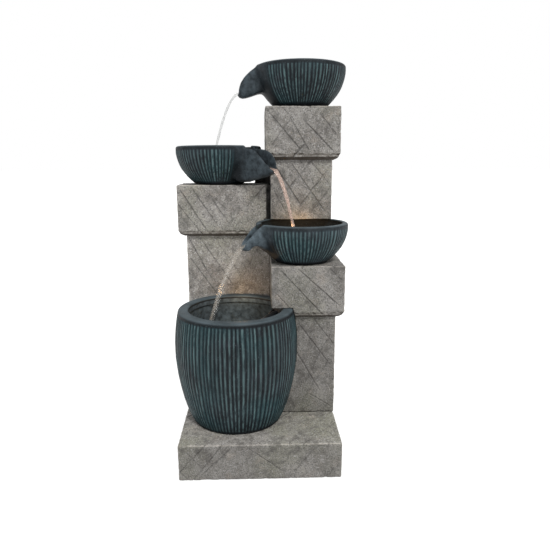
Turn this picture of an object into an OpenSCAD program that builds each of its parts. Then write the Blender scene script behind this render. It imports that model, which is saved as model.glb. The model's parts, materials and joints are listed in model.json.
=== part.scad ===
// Four-tier cascading bowl fountain, millimetres.
// Z = 0 is the ground, X = 0 and Y = 0 are the middle of the overall box,
// the front faces -Y and +X is to the right seen from the front.

/* [Base] */
// Width of the plinth
base_w = 325; // [310:1:330]
// Depth of the plinth
base_d = 365; // [360:1:365]
// Height of the plinth's top face above the datum
base_top = 73; // [60:1:73]
// Height of the datum above the ground, for every piece but the plinth and its pads
rise = 5; // [0:1:6]
// Wall of the plinth casting
base_wall = 12; // [8:1:16]

/* [Stone towers] */
// Wall of the column castings
col_wall = 12; // [11:1:16]
// Top plate of each cap block
plate_t = 12; // [8:1:14]
// Height of the sloped lip under each cap block
lip_h = 10; // [6:1:12]
// Radial clearance between a cap block and its column
cap_gap = 0.5; // [0.3:0.1:1]
// Height of the left cap block's top face
left_top = 566; // [560:1:570]
// Height of the right middle block's top face
mid_top = 405; // [400:1:407]
// Height of the top cap block's top face
cap_top = 731; // [728:1:735]

/* [Vessels] */
// Largest radius of the pot basin
pot_r = 129; // [126:1:129]
// Height of the pot basin
pot_h = 242; // [240:1:244]
// Wall of the pot basin
pot_wall = 22; // [20:1:24]
// Largest radius of the top and lower bowls
bowl_r = 99; // [95:1:99]
// Largest radius of the middle bowl
mid_bowl_r = 97; // [94:1:98]
// Height of the lower and middle bowls
bowl_h = 84; // [82:1:86]
// Height of the top bowl
top_bowl_h = 89; // [87:1:90]
// Wall of a bowl
bowl_wall = 12; // [10:1:14]

/* [Spouts] */
// Direction of the top bowl's spout in plan
top_turn = 185; // [180:1:190]
// Direction of the middle bowl's spout in plan
mid_turn = -42; // [-44:0.5:-41.5]
// Direction of the lower bowl's spout in plan
low_turn = 203; // [198:1:206]
// Stretch of the top bowl's spout against the plain one
top_reach = 1.06; // [1:0.01:1.08]
// Stretch of the middle bowl's spout against the plain one
mid_reach = 1.7; // [1.65:0.05:1.8]
// Stretch of the lower bowl's spout against the plain one
low_reach = 1.07; // [1:0.01:1.2]

/* [Pump] */
// Width of the pump housing
pump_w = 54; // [54:1:58]
// Height of the pump housing
pump_h = 50; // [50:1:54]
// Bore of the rotor well
well_d = 20; // [19.6:0.1:20.4]
// Diameter of the rotor shaft
shaft_d = 3; // [2.5:0.1:3]

/* [Plumbing and light] */
// Outside diameter of the supply hose
hose_d = 16; // [14:1:16]
// Outside diameter of a lead
lead_d = 5; // [4:0.5:5]
// Diameter of a light housing
light_d = 32; // [30:1:34]

/* [Hidden] */

stone = "#7d776d";
vessel = "#22343d";
e = 0.02;

// Plan of the plinth
bx0 = -166.5; bx1 = bx0 + base_w;
by0 = -198; by1 = by0 + base_d;
foot_h = 1.5;

// Columns as [x0, x1, y0, y1]
lcol = [-167.5, 23, 57, 152];
lcol_up = -0.5;             // right side of the left column above its shoulder
rcol = [40, 159.5, -65, 152];
ucol = [23.5, 160, 34, 152];
// Cap blocks as [x0, x1, y0, y1]
lblk = [-184, 15, 41, 167];
mblk = [21.5, 176, -79.5, 167];
tblk = [12.5, 175.5, 19, 167];
// Heights of the lower edge of the blocks' vertical faces
lblk_z = 458; mblk_z = 300; tblk_z = 626;

// Vessel centres, with the height of each foot
pot_c = [-53, -63.5, base_top];
low_c = [89.2, -14, mid_top];
mid_c = [-92.5, 100, left_top];
top_c = [92.5, 87, cap_top];
pot_hole_z = 284;           // height of the hole through the pot's wall
pot_hole_a = 30;            // its direction in plan

// ---- profiles -------------------------------------------------------------
// Radius of the pot's outside at a share t of its height
POT = [[0, .735], [.02, .752], [.07, .796], [.143, .849], [.215, .888], [.286, .919],
    [.36, .947], [.43, .97], [.5, .985], [.573, .9985], [.64, 1], [.716, 1],
    [.79, .992], [.86, .979], [.93, .96], [.985, .94], [.995, .934], [1, .925]];
// Radius of a bowl's outside at a share t of its height
BOWL = [[0, .56], [.04, .60], [.1, .662], [.2, .747], [.3, .82], [.4, .878], [.5, .922],
    [.6, .956], [.7, .981], [.8, .997], [.88, 1], [.96, .9975], [.99, .988], [1, .972]];

function outer_points(p, r, h) = [for (q = p) [q[1] * r, q[0] * h]];
// Inside: the wall is taken off the radius, the floor off the bottom
function inner_points(p, r, h, w, floor_t) =
    [for (q = p) if (q[0] * h > floor_t * 1.6) [q[1] * r - w, q[0] * h]];

module vessel_outside(p, r, h, more = 0) {
    o = outer_points(p, r, h);
    rotate_extrude($fn = 96)
        polygon(concat([[0, 0 - (more > 0 ? more : 0)]],
            [[o[0][0] + more, 0 - (more > 0 ? more : 0)]],
            [for (i = [1 : len(o) - 1]) [o[i][0] + more, o[i][1]]],
            more > 0 ? [[o[len(o) - 1][0] + more + 3, h + more]] : [],
            [[0, h + (more > 0 ? more : 0)]]));
}
module vessel_inside(p, r, h, w, floor_t, lip_r, lip_z) {
    n = inner_points(p, r, h, w, floor_t);
    m = [for (q = n) if (q[1] < h - lip_z - 6) q];
    rotate_extrude($fn = 96)
        polygon(concat([[0, floor_t], [n[0][0] - floor_t * 0.7, floor_t]], m,
            [[lip_r, h - lip_z], [lip_r, h - 4], [lip_r + 1.4, h - 1.3], [lip_r + 4.5, h + 1], [0, h + 1]]));
}

// ---- spouts ---------------------------------------------------------------
// For each spout: top edge on its left and on its right looking along the flow, underside, and
// channel floor, all as distance out from the bowl's axis and height
TOP_SPOUT = [[[66, 62], [74, 82], [84, 89], [93, 88], [101, 85.3], [108, 80.6], [115, 75],
        [121.5, 68.2], [127, 61.8], [131.5, 55.2], [135, 49], [137.4, 43], [138.4, 37]],
    [[66, 62], [74, 82], [84, 89], [93, 88], [101, 85.3], [108, 80.6], [115, 75],
        [121.5, 68.2], [127, 61.8], [131.5, 55.2], [135, 49], [137.4, 43], [138.4, 37]],
    [[138.6, 31.6], [137, 26.4], [133, 21.4], [127, 19.6], [120, 20.4], [112, 22.8],
        [103, 26], [94, 29.4], [84, 31.4], [74, 30], [66, 34]],
    [[40, 47], [72, 46], [86, 43.6], [98, 40.4], [110, 35.4], [122, 30.6], [132, 28.4], [150, 27.4]]];
MID_SPOUT = [[[66, 58], [74, 76], [84, 80], [93, 80], [101, 79.6], [108, 79], [115, 77],
        [121.5, 73], [127, 67], [131.5, 59], [135, 48], [136.8, 39]],
    [[66, 58], [74, 76], [84, 82], [93, 81.5], [101, 80], [108, 76.5], [115, 67],
        [121.5, 56.5], [127, 48], [131.5, 42.5], [135, 38.5], [136.8, 35.5]],
    [[137, 31], [135.6, 27], [132, 23.4], [127, 20], [120, 17], [112, 14],
        [103, 10.6], [94, 7.4], [84, 5], [74, 8], [66, 16]],
    [[40, 47], [72, 46], [86, 44], [98, 42], [110, 39], [122, 34.5], [132, 30.5], [150, 29.5]]];
LOW_SPOUT = [[[66, 60], [74, 80], [84, 84], [93, 83.4], [101, 82], [108, 77], [115, 70],
        [121.5, 62], [127, 56.4], [131.5, 51], [135, 45.4], [136.8, 41]],
    [[66, 60], [74, 80], [84, 84], [93, 83.4], [101, 82], [108, 77.6], [115, 71],
        [121.5, 62.6], [127, 56], [131.5, 49.5], [135, 44], [136.8, 40]],
    [[137, 36], [135.6, 33], [132, 30.8], [127, 30], [122, 31.2], [117, 36], [112, 39.6],
        [106, 39.4], [99, 36], [92, 31], [84, 26], [74, 24], [66, 26]],
    [[40, 50], [72, 50], [86, 50], [98, 49.5], [106, 48.6], [114, 46], [122, 41.5], [128, 38.4],
        [134, 36.8], [150, 36]]];
// Half width of the spout against its distance out
PLAN = [[60, 30], [76, 28], [84, 24.5], [92, 20.6], [100, 18.2], [110, 16.6], [122, 15.6],
    [130, 14.4], [134.6, 12.4], [137.4, 9], [138.8, 4]];
// Half width of the water channel in it, open at the tip
CHANNEL_PLAN = [[40, 22.5], [70, 21.6], [84, 18], [92, 14.8], [100, 12.6], [110, 11.2], [122, 10.2],
    [132, 9.6], [150, 9.2]];
function stretched(s, k) = s <= 90 ? s : 90 + (s - 90) * k;
function line(p, k) = [for (q = p) [stretched(q[0], k), q[1]]];

module side_prism(p, k, y0, y1)
    rotate([90, 0, 0]) translate([0, 0, -y1]) linear_extrude(y1 - y0) polygon(line(p, k));
module plan_prism(p, k, wide) {
    a = [for (q = p) [stretched(q[0], k), q[1] * wide]];
    translate([0, 0, -10]) linear_extrude(130)
        polygon(concat(a, [for (i = [len(a) - 1 : -1 : 0]) [a[i][0], -a[i][1]]]));
}
// A long U-shaped prism, round side down, along the spout's own slope
module u_prism(r, k, lift) {
    slope = atan(11 / (46 * k));
    translate([60, 0, 37 + lift]) rotate([0, slope, 0]) translate([-30, 0, r])
        rotate([90, 0, 90]) linear_extrude(210)
            polygon(concat([[r, 100]], [for (i = [0 : 10]) let (t = -i * 18) [r * cos(t), r * sin(t)]],
                [[-r, 100]]));
}
module spout_outside(q, k, wide, keel) {
    intersection() {
        union() {
            side_prism(concat(q[0], q[2]), k, -e, 40);
            side_prism(concat(q[1], q[2]), k, -40, 0);
        }
        plan_prism(PLAN, k, wide);
        u_prism(29, k, keel);
    }
}
module spout_channel(q, k, wide) {
    intersection() {
        side_prism(concat(q[3], [[150, 110], [40, 110]]), k, -40, 40);
        plan_prism(CHANNEL_PLAN, k, wide);
    }
}

module bowl(r, h, turn, q, k, wide, keel = -8) {
    color(vessel) rotate([0, 0, turn]) difference() {
        union() {
            vessel_outside(BOWL, r, h);
            spout_outside(q, k, wide, keel);
        }
        vessel_inside(BOWL, r, h, bowl_wall, 14, r - bowl_wall, 8);
        spout_channel(q, k, wide);
    }
}
// Space that a bowl takes in a stone casting, with a 0.5 mm joint line
module bowl_pocket(r) vessel_outside(BOWL, r, bowl_h, 0.5);
module pot_pocket() vessel_outside(POT, pot_r, pot_h, 0.5);

// ---- stone castings -------------------------------------------------------
module slab(b, z0, z1)
    translate([b[0], b[2], z0]) cube([b[1] - b[0], b[3] - b[2], z1 - z0]);
function grow(b, g) = [b[0] - g, b[1] + g, b[2] - g, b[3] + g];

// Wedges that cut the sloped lip under a block, ends at z, face edge at z + lip_h
module lip_cut_x(b, z, over, y, s) // along X at the front (s = 1) or back (s = -1)
    translate([b[0] - 5, y, z - 1]) rotate([90, 0, 90]) linear_extrude(b[1] - b[0] + 10)
        polygon([[-s * 1, 0], [-s * 1, lip_h + 1], [0, lip_h + 1], [s * over, 1], [s * over, 0]]);
module lip_cut_y(b, z, over, x, s) // along Y at the left (s = 1) or right (s = -1)
    translate([x, b[3] + 5, z - 1]) rotate([90, 0, 0]) linear_extrude(b[3] - b[2] + 10)
        polygon([[-s * 1, 0], [-s * 1, lip_h + 1], [0, lip_h + 1], [s * over, 1], [s * over, 0]]);

// A cap block: box with a sloped lip that closes down on the column c
module cap_block(b, c, zf, zt, right_lip = true) {
    z0 = zf - lip_h;
    difference() {
        slab(b, z0, zt);
        lip_cut_x(b, z0, c[2] - b[2] - 1.5, b[2], 1);
        lip_cut_x(b, z0, b[3] - c[3] - 1.5, b[3], -1);
        lip_cut_y(b, z0, c[0] - b[0] - 1.5, b[0], 1);
        if (right_lip) lip_cut_y(b, z0, b[1] - c[1] - 1.5, b[1], -1);
        slab(grow(c, cap_gap), z0 - 1, zt - plate_t);
    }
}

module base_plinth() color(stone) difference() {
    slab([bx0, bx1, by0, by1], foot_h, base_top + rise);
    slab([bx0 + base_wall, bx1 - base_wall, by0 + base_wall, by1 - base_wall], foot_h - 1, base_top + rise - base_wall);
}
module rubber_feet() color("#1c1c1d")
    for (x = [bx0 + 5.9, bx1 - 5.9]) for (y = [by0 + 26, by1 - 26])
        translate([x, y, 0]) cylinder(h = foot_h, d = 10, $fn = 32);

module lower_left_column() color(stone) difference() {
    union() {
        slab(lcol, base_top, lblk_z - lip_h);
        slab([lcol[0], lcol_up, lcol[2], lcol[3]], lblk_z - lip_h, left_top - plate_t);
    }
    slab([lcol[0] + col_wall, lcol[1] - col_wall, lcol[2] + col_wall + 2, lcol[3] - col_wall],
        base_top - 1, lblk_z - lip_h - col_wall);
    slab([lcol[0] + col_wall, lcol_up - col_wall, lcol[2] + col_wall + 2, lcol[3] - col_wall],
        base_top - 1, left_top - plate_t - col_wall);
    translate(pot_c) pot_pocket();
}
module left_cap_block() color(stone) difference() {
    union() {
        cap_block(lblk, [lcol[0], lcol_up, lcol[2], lcol[3]], lblk_z, left_top, false);
        // web that closes the joint to the right tower and stands a little above the block
        slab([lblk[1] - 2, ucol[0] - 0.5, 60, lblk[3]], lblk_z - lip_h, left_top);
        slab([-12, ucol[0] - 0.5, 125, lblk[3]], left_top - 2, left_top + 22);
    }
    translate(low_c) bowl_pocket(bowl_r);
}
module lower_right_column() color(stone) difference() {
    slab(rcol, base_top, mid_top - plate_t);
    slab([rcol[0] + col_wall, rcol[1] - col_wall, rcol[2] + col_wall, rcol[3] - col_wall],
        base_top - 1, mid_top);
    translate(pot_c) pot_pocket();
    // room for the grommet's outer flange
    translate([pot_c[0], pot_c[1], pot_hole_z]) rotate([0, 0, pot_hole_a]) rotate([0, 90, 0])
        translate([0, 0, 110]) cylinder(h = 60, d = 46, $fn = 48);
    // inlet hole in the back wall
    translate([inlet[0], rcol[3] - col_wall - 1, inlet[2]]) rotate([-90, 0, 0])
        cylinder(h = col_wall + 2, d = 16, $fn = 48);
}
module right_mid_block() color(stone) difference() {
    cap_block(mblk, rcol, mblk_z, mid_top);
    // notch for the left tower's side
    slab([mblk[0] - 1, lcol[1] + 0.5, lcol[2] - 0.5, mblk[3] + 1], mblk_z - lip_h - 1, mid_top + 1);
    translate(pot_c) pot_pocket();
    translate([riser[0], riser[1], mid_top - plate_t - 1]) cylinder(h = plate_t + 2, d = 44, $fn = 48);
}
module upper_right_column() color(stone) difference() {
    slab(ucol, mid_top, cap_top - plate_t);
    slab([ucol[0] + col_wall, ucol[1] - col_wall, ucol[2] + col_wall, ucol[3] - col_wall],
        mid_top - 1, cap_top);
    translate(low_c) bowl_pocket(bowl_r);
}
module top_cap_block() color(stone) difference() {
    cap_block(tblk, ucol, tblk_z, cap_top);
    translate([top_c[0], top_c[1], cap_top - plate_t - 1]) cylinder(h = plate_t + 2, d = pipe_d, $fn = 48);
}

// ---- vessels --------------------------------------------------------------
module pot_basin() color(vessel) difference() {
    translate(pot_c) difference() {
        vessel_outside(POT, pot_r, pot_h);
        vessel_inside(POT, pot_r, pot_h, pot_wall, 16, 98.5, 12);
    }
    translate([pot_c[0], pot_c[1], pot_hole_z]) rotate([0, 0, pot_hole_a]) rotate([0, 90, 0]) {
        translate([0, 0, 90]) cylinder(h = 50, d = 32, $fn = 48);
        translate([0, 0, grom_out]) cylinder(h = 10, d = 42, $fn = 48);
        translate([0, 0, grom_in - 12]) cylinder(h = 12, d = 42, $fn = 48);
    }
}
module lower_bowl() difference() {
    translate(low_c) bowl(bowl_r, bowl_h, low_turn, LOW_SPOUT, low_reach, 0.97);
    color(vessel) translate([low_c[0], low_c[1], bowl_hole_z]) rotate([0, 0, 90]) rotate([0, 90, 0])
        translate([0, 0, 70]) cylinder(h = 40, d = 9, $fn = 32);
}
module middle_bowl() color(vessel) difference() {
    translate(mid_c) bowl(mid_bowl_r, bowl_h, mid_turn, MID_SPOUT, mid_reach, 0.9, -26);
    // step in the spout's back wall for the top cap block's corner
    slab([tblk[0] - 1, 80, tblk[2] - 1, 80], tblk_z - lip_h - 1, cap_top);
}
module top_bowl() difference() {
    translate(top_c) bowl(bowl_r, top_bowl_h, top_turn, TOP_SPOUT, top_reach, 1);
    color(vessel) translate([top_c[0], top_c[1], cap_top - 1]) cylinder(h = 20, d = pipe_d, $fn = 48);
}

// ---- pump: stands on the pot's floor, rotor axis along Y, suction to the front ----
pump = [-53, -66, base_top + 16];
axis_z = 31;                // rotor axis above the pot's floor
pump_z0 = 6;                // underside of the housing above the floor
pump_d = 40;                // depth of the housing behind its front face
well_l = 30;
shaft_l = 39;

module at_pump() translate(pump) children();
module along_y(y, h, d, fn = 48) // a cylinder from y towards +Y on the rotor axis
    translate([0, y, axis_z]) rotate([-90, 0, 0]) cylinder(h = h, d = d, $fn = fn);
module rounded_box(x0, x1, y0, y1, z0, z1, r)
    translate([0, y1, 0]) rotate([90, 0, 0]) linear_extrude(y1 - y0) union() {
        translate([x0 + r, z0]) square([x1 - x0 - 2 * r, z1 - z0]);
        translate([x0, z0 + r]) square([x1 - x0, z1 - z0 - 2 * r]);
        for (x = [x0 + r, x1 - r]) for (z = [z0 + r, z1 - r]) translate([x, z]) circle(r, $fn = 24);
    }
module corner_posts(y, h, d, inset)
    for (x = [-pump_w / 2 + inset, pump_w / 2 - inset]) for (z = [pump_z0 + inset, pump_z0 + pump_h - inset])
        translate([x, y, z]) rotate([-90, 0, 0]) cylinder(h = h, d = d, $fn = 24);

module pump_housing() color("#1d1f22") at_pump() difference() {
    rounded_box(-pump_w / 2, pump_w / 2, 0, pump_d, pump_z0, pump_z0 + pump_h, 6);
    difference() {
        rounded_box(-pump_w / 2 + 3, pump_w / 2 - 3, 4, pump_d + 1, pump_z0 + 3, pump_z0 + pump_h - 3, 4);
        along_y(0, well_l + 3, well_d + 4);
        corner_posts(3, pump_d, 8, 6);
    }
    along_y(-1, well_l + 1, well_d);
    corner_posts(-1, 10, 2.6, 6);
    corner_posts(pump_d - 8, 10, 2.6, 6);
    // bed of the rear bush
    along_y(well_l - 1, 2.5, 8);
}
module pump_stator() color("#3a2a22") at_pump() difference() {
    rounded_box(-pump_w / 2 + 3.2, pump_w / 2 - 3.2, 4.2, pump_d - 6, pump_z0 + 3.2, pump_z0 + pump_h - 3.2, 3.8);
    along_y(0, well_l + 3.4, well_d + 4.4);
    corner_posts(3, pump_d, 8.4, 6);
}
module pump_back_cover() color("#222428") at_pump() difference() {
    union() {
        rounded_box(-pump_w / 2, pump_w / 2, pump_d, pump_d + 3, pump_z0, pump_z0 + pump_h, 6);
        translate([0, pump_d + 2, pump_z0 + pump_h - 12]) rotate([-90, 0, 0]) cylinder(h = 5, d = 12, $fn = 32);
    }
    corner_posts(pump_d - 1, 5, 3.2, 6);
    translate([0, pump_d - 1, pump_z0 + pump_h - 12]) rotate([-90, 0, 0]) cylinder(h = 12, d = lead_d + 0.2, $fn = 32);
}
// Front chamber with the suction hole and the upright delivery tube
module pump_volute() color("#26292d") at_pump() difference() {
    union() {
        rounded_box(-pump_w / 2, pump_w / 2, -4, 0, pump_z0, pump_z0 + pump_h, 6);
        along_y(-17, 14, 42, 64);
        translate([13, -9.5, axis_z]) cylinder(h = 39, d = 14, $fn = 48);
    }
    along_y(-15, 16, 36, 64);
    along_y(-18, 5, 13);
    translate([13, -9.5, axis_z]) cylinder(h = 40, d = 10, $fn = 48);
    corner_posts(-5, 6, 3.2, 6);
    corner_posts(-18, 14, 6.4, 6);
}
module pump_screws() color("#b9bcc0") at_pump() {
    difference() {
        union() {
            corner_posts(-4, 9, 2.6, 6);
            corner_posts(-6, 2, 5.5, 6);
        }
        for (x = [-pump_w / 2 + 6, pump_w / 2 - 6]) for (z = [pump_z0 + 6, pump_z0 + pump_h - 6]) {
            translate([x - 2, -7, z - 0.4]) cube([4, 1.9, 0.8]);
            translate([x - 0.4, -7, z - 2]) cube([0.8, 1.9, 4]);
        }
    }
    difference() {
        union() {
            corner_posts(pump_d - 5, 8, 2.6, 6);
            corner_posts(pump_d + 3, 2, 5.5, 6);
        }
        for (x = [-pump_w / 2 + 6, pump_w / 2 - 6]) for (z = [pump_z0 + 6, pump_z0 + pump_h - 6]) {
            translate([x - 2, pump_d + 4, z - 0.4]) cube([4, 1.9, 0.8]);
            translate([x - 0.4, pump_d + 4, z - 2]) cube([0.8, 1.9, 4]);
        }
    }
}
module pump_shaft() color("#e8e6e0") at_pump() along_y(-11, 42.5, shaft_d, 32);
// The front bush sits in a three-armed spider inside the chamber
module front_bush() color("#101010") at_pump() difference() {
    union() {
        along_y(-15, 2.4, 13);
        along_y(-15, 5, 7);
    }
    along_y(-11.01, 2, shaft_d);
    for (a = [0 : 90 : 270]) translate([0, 0, axis_z]) rotate([0, a, 0]) translate([0, -16, 0])
        rotate([0, 45, 0]) translate([3.8, 0, -1.4]) cube([2, 4, 2.8]);
}
module rear_bush() color("#101010") at_pump() difference() {
    along_y(well_l - 1, 2.5, 8);
    along_y(well_l - 2, 5, shaft_d);
}
module rotor_magnet() color("#4a4a4e") at_pump() difference() {
    along_y(1, 27, well_d - 1.2);
    along_y(0, 29, 9);
}
module pump_impeller() color("#e6e3da") at_pump() difference() {
    union() {
        along_y(0, 28, 9);
        along_y(-2.6, 2.1, 30);
        for (a = [0 : 60 : 300]) translate([0, 0, axis_z]) rotate([0, a, 0])
            translate([3, -8, -0.9]) cube([11.2, 7, 1.8]);
        along_y(-8.6, 8, 8);
    }
    along_y(-10, 39, shaft_d + 0.3);
}
// Slotted cover that pulls off towards the front
module pump_strainer() color("#1f2226") at_pump() difference() {
    rounded_box(-pump_w / 2 - 2.6, pump_w / 2 + 2.6, -34, 4, pump_z0 - 2.6, pump_z0 + pump_h + 2.6, 7);
    rounded_box(-pump_w / 2 - 0.4, pump_w / 2 + 0.4, -31.6, 5, pump_z0 - 0.4, pump_z0 + pump_h + 0.4, 6);
    // notch over the delivery tube
    translate([13 - 7.6, -50, pump_z0 + pump_h - 4]) cube([15.2, 60, 12]);
    // slots
    for (i = [-2 : 2]) for (s = [-1, 1])
        translate([s > 0 ? 14 : -25, -36, axis_z + i * 7.4 - 1.6]) cube([11, 6, 3.2]);
    for (i = [0 : 3]) translate([-pump_w / 2 - 4, -28 + i * 6, axis_z - 16]) cube([pump_w + 8, 3, 32]);
    along_y(-36, 6, 8.4);
}
module flow_dial() color("#c9ccce") at_pump() difference() {
    union() {
        along_y(-38, 3.7, 20);
        along_y(-38, 10, 8);
        along_y(-31.2, 2.2, 12);
        translate([-1.5, -40.6, axis_z - 8.6]) cube([3, 3, 17.2]);
    }
    translate([4, -31.6, axis_z - 8]) cube([6, 5, 16]);
}
module suction_feet() color("#2c2c2e") at_pump()
    for (x = [-19, 19]) for (y = [8, 32]) translate([x, y, 0]) {
        cylinder(h = 3, r1 = 7, r2 = 4, $fn = 32);
        translate([0, 0, 3 - e]) cylinder(h = 3 + e, d = 8, $fn = 32);
    }
module outlet_adapter() color("#30343a") at_pump() translate([13, -9.5, axis_z + 29]) difference() {
    union() {
        cylinder(h = 14, d = 18, $fn = 48);
        translate([0, 0, 14 - e]) cylinder(h = 3, d = 20, $fn = 6);
    }
    translate([0, 0, -1]) cylinder(h = 11, d = 14, $fn = 48);
    cylinder(h = 30, d = 10, $fn = 48);
}
// ---- swept tubes ----------------------------------------------------------
// Smooth points through hand-picked ones, then rings square to the path
function cr(p0, p1, p2, p3, t) = 0.5 * ((2 * p1) + (p2 - p0) * t + (2 * p0 - 5 * p1 + 4 * p2 - p3) * t * t
    + (3 * p1 - p0 - 3 * p2 + p3) * t * t * t);
function smooth(p, n) = concat([for (i = [0 : len(p) - 2]) for (j = [0 : n - 1])
    cr(p[max(i - 1, 0)], p[i], p[i + 1], p[min(i + 2, len(p) - 1)], j / n)], [p[len(p) - 1]]);
function unit(v) = v / norm(v);
function tangent(p, i) = i == 0 ? unit(p[1] - p[0]) : i == len(p) - 1 ? unit(p[i] - p[i - 1]) : unit(p[i + 1] - p[i - 1]);
function turned(n, t) = unit(n - (n * t) * t);
function frames(p, i = 0, n = [0.31, 0.92, 0.24], out = []) = i == len(p) ? out :
    let (t = tangent(p, i), m = turned(n, t)) frames(p, i + 1, m, concat(out, [[m, cross(t, m)]]));
module tube(p, d, sides) {
    f = frames(p);
    pts = [for (i = [0 : len(p) - 1]) for (k = [0 : sides - 1])
        p[i] + d / 2 * (cos(k * 360 / sides) * f[i][0] + sin(k * 360 / sides) * f[i][1])];
    polyhedron(points = pts, faces = concat(
        [[for (k = [0 : sides - 1]) k]],
        [for (i = [0 : len(p) - 2]) for (k = [0 : sides - 1])
            [i * sides + k, (i + 1) * sides + k, (i + 1) * sides + (k + 1) % sides, i * sides + (k + 1) % sides]],
        [[for (k = [sides - 1 : -1 : 0]) (len(p) - 1) * sides + k]]));
}
// A point at radius r, height z and sideways offset s beside the pot's wall hole
function at_hole(r, s, dz) = [pot_c[0] + r * cos(pot_hole_a) - s * sin(pot_hole_a),
    pot_c[1] + r * sin(pot_hole_a) + s * cos(pot_hole_a), pot_hole_z + dz];

riser = [96, 122];
inlet = [120, 0, 120];
pipe_d = 16;
grom_out = 123.6;
grom_in = 104.5;
bowl_hole_z = mid_top + 56;

HOSE = [[-40, -75.5, 166], [-40, -75.5, 190], [-37, -72, 225], [-14, -52, 262],
    at_hole(92, 0, -1), at_hole(116, 0, 0), at_hole(138, 0, 2),
    [84, 34, 306], [88, 92, 340], [90, 120, 388], [90, 122, 440], [90, 121, 560],
    [91, 108, 640], [92.5, 88, 682], [92.5, 87, 704]];
PUMP_LEAD = [[-53, -25, 133], [-53, -14, 133], [-34, -4, 180], [8, -20, 246],
    at_hole(92, 10.6, 3), at_hole(116, 10.6, 3), at_hole(138, 11, -4),
    [74, 40, 262], [90, 90, 272], [100, 114, 262], [100, 119, 238]];
POT_LIGHT_LEAD = [[-36.9, 20, 214], [-26, 19, 215], [-6, 10, 228], [16, -4, 256],
    at_hole(92, 10.6, -4), at_hole(116, 10.6, -4), at_hole(138, 12, -12),
    [68, 50, 250], [78, 100, 262], [87, 121, 256], [88, 124, 238]];
BOWL_LIGHT_LEAD = [[89.2, 24.1, 433], [89.2, 34, 434], [89.2, 58, bowl_hole_z - 4],
    [89.2, 78, bowl_hole_z], [89.2, 92, bowl_hole_z], [100, 108, 440], [108, 124, 400], [110, 123, 320],
    [112, 121, 270], [112, 122, 238]];
INLET_LEAD = [[110, 127, 172], [112, 127, 150], [120, 126, 134], [120, 131, 120]];

module supply_hose() color("#3a3d40") tube(smooth(HOSE, 2), hose_d, 10);
module pump_lead() color("#18191b") tube(smooth(PUMP_LEAD, 2), lead_d, 8);
module pot_light_lead() color("#18191b") tube(smooth(POT_LIGHT_LEAD, 2), lead_d, 8);
module bowl_light_lead() color("#18191b") tube(smooth(BOWL_LIGHT_LEAD, 2), lead_d, 8);
module inlet_lead() color("#18191b") tube(smooth(INLET_LEAD, 2), lead_d, 8);

module hose_clamp() color("#b4b8bc") translate([-40, -75.5, 172]) difference() {
    union() {
        cylinder(h = 8, d = hose_d + 3, $fn = 48);
        translate([hose_d / 2, -3, 0]) cube([7, 6, 8]);
    }
    translate([0, 0, -1]) cylinder(h = 10, d = hose_d + 0.4, $fn = 48);
    translate([hose_d / 2 - 1, -0.8, -1]) cube([9, 1.6, 10]);
}
module pot_grommet() color("#18191b")
    translate([pot_c[0], pot_c[1], pot_hole_z]) rotate([0, 0, pot_hole_a]) rotate([0, 90, 0]) difference() {
        union() {
            translate([0, 0, grom_in - 2]) cylinder(h = grom_out - grom_in + 4, d = 32, $fn = 48);
            translate([0, 0, grom_in - 2.5]) cylinder(h = 2.5, d = 40, $fn = 48);
            translate([0, 0, grom_out]) cylinder(h = 2.5, d = 40, $fn = 48);
        }
        translate([0, 0, 80]) cylinder(h = 60, d = hose_d + 0.6, $fn = 48);
        for (q = [3, -4]) translate([-q, 10.6, 80]) cylinder(h = 60, d = lead_d + 0.6, $fn = 32);
    }
// Threaded pipe through the top bowl's floor, with a flange on its seal
module standpipe() color("#9aa0a4") translate([top_c[0], top_c[1], 0]) difference() {
    union() {
        translate([0, 0, 704]) cylinder(h = 82, d = pipe_d, $fn = 48);
        translate([0, 0, cap_top + 16]) cylinder(h = 4, d = 30, $fn = 48);
        translate([0, 0, 786 - e]) cylinder(h = 6, r1 = pipe_d / 2, r2 = pipe_d / 2 - 2, $fn = 48);
    }
    translate([0, 0, 703]) cylinder(h = 100, d = 11, $fn = 48);
}
module standpipe_seal() color("#141414") translate([top_c[0], top_c[1], cap_top + 14]) difference() {
    cylinder(h = 2, d = 30, $fn = 48);
    translate([0, 0, -1]) cylinder(h = 4, d = pipe_d, $fn = 48);
}
module standpipe_nut() color("#9aa0a4") translate([top_c[0], top_c[1], cap_top - plate_t - 8]) difference() {
    union() {
        cylinder(h = 6, d = 27, $fn = 6);
        translate([0, 0, 6 - e]) cylinder(h = 2 + e, d = 30, $fn = 48);
    }
    translate([0, 0, -1]) cylinder(h = 12, d = pipe_d, $fn = 48);
}

// ---- lights ---------------------------------------------------------------
pot_light = [-53, 20, 200];
bowl_light = [89.2, 8, mid_top + 14];
module light_housing() difference() {
    union() {
        cylinder(h = 22, d = light_d, $fn = 48);
        translate([0, 0, 6]) cylinder(h = 3, d = light_d + 3, $fn = 48);
    }
    translate([0, 0, 4]) cylinder(h = 20, d = light_d - 5, $fn = 48);
}
module light_board() union() {
    translate([0, 0, 4]) cylinder(h = 1.6, d = light_d - 6, $fn = 48);
    for (a = [0 : 60 : 300]) rotate([0, 0, a]) translate([7, -2.5, 5.6 - e]) cube([5, 5, 1.2]);
    translate([-2.5, -2.5, 5.6 - e]) cube([5, 5, 1.2]);
}
module light_lens() rotate_extrude($fn = 48)
    polygon([[0, 18], [13.4, 18], [13.4, 22], [15.6, 22], [15.4, 23.4], [12, 25.2], [7, 26.6], [0, 27.2]]);

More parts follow.
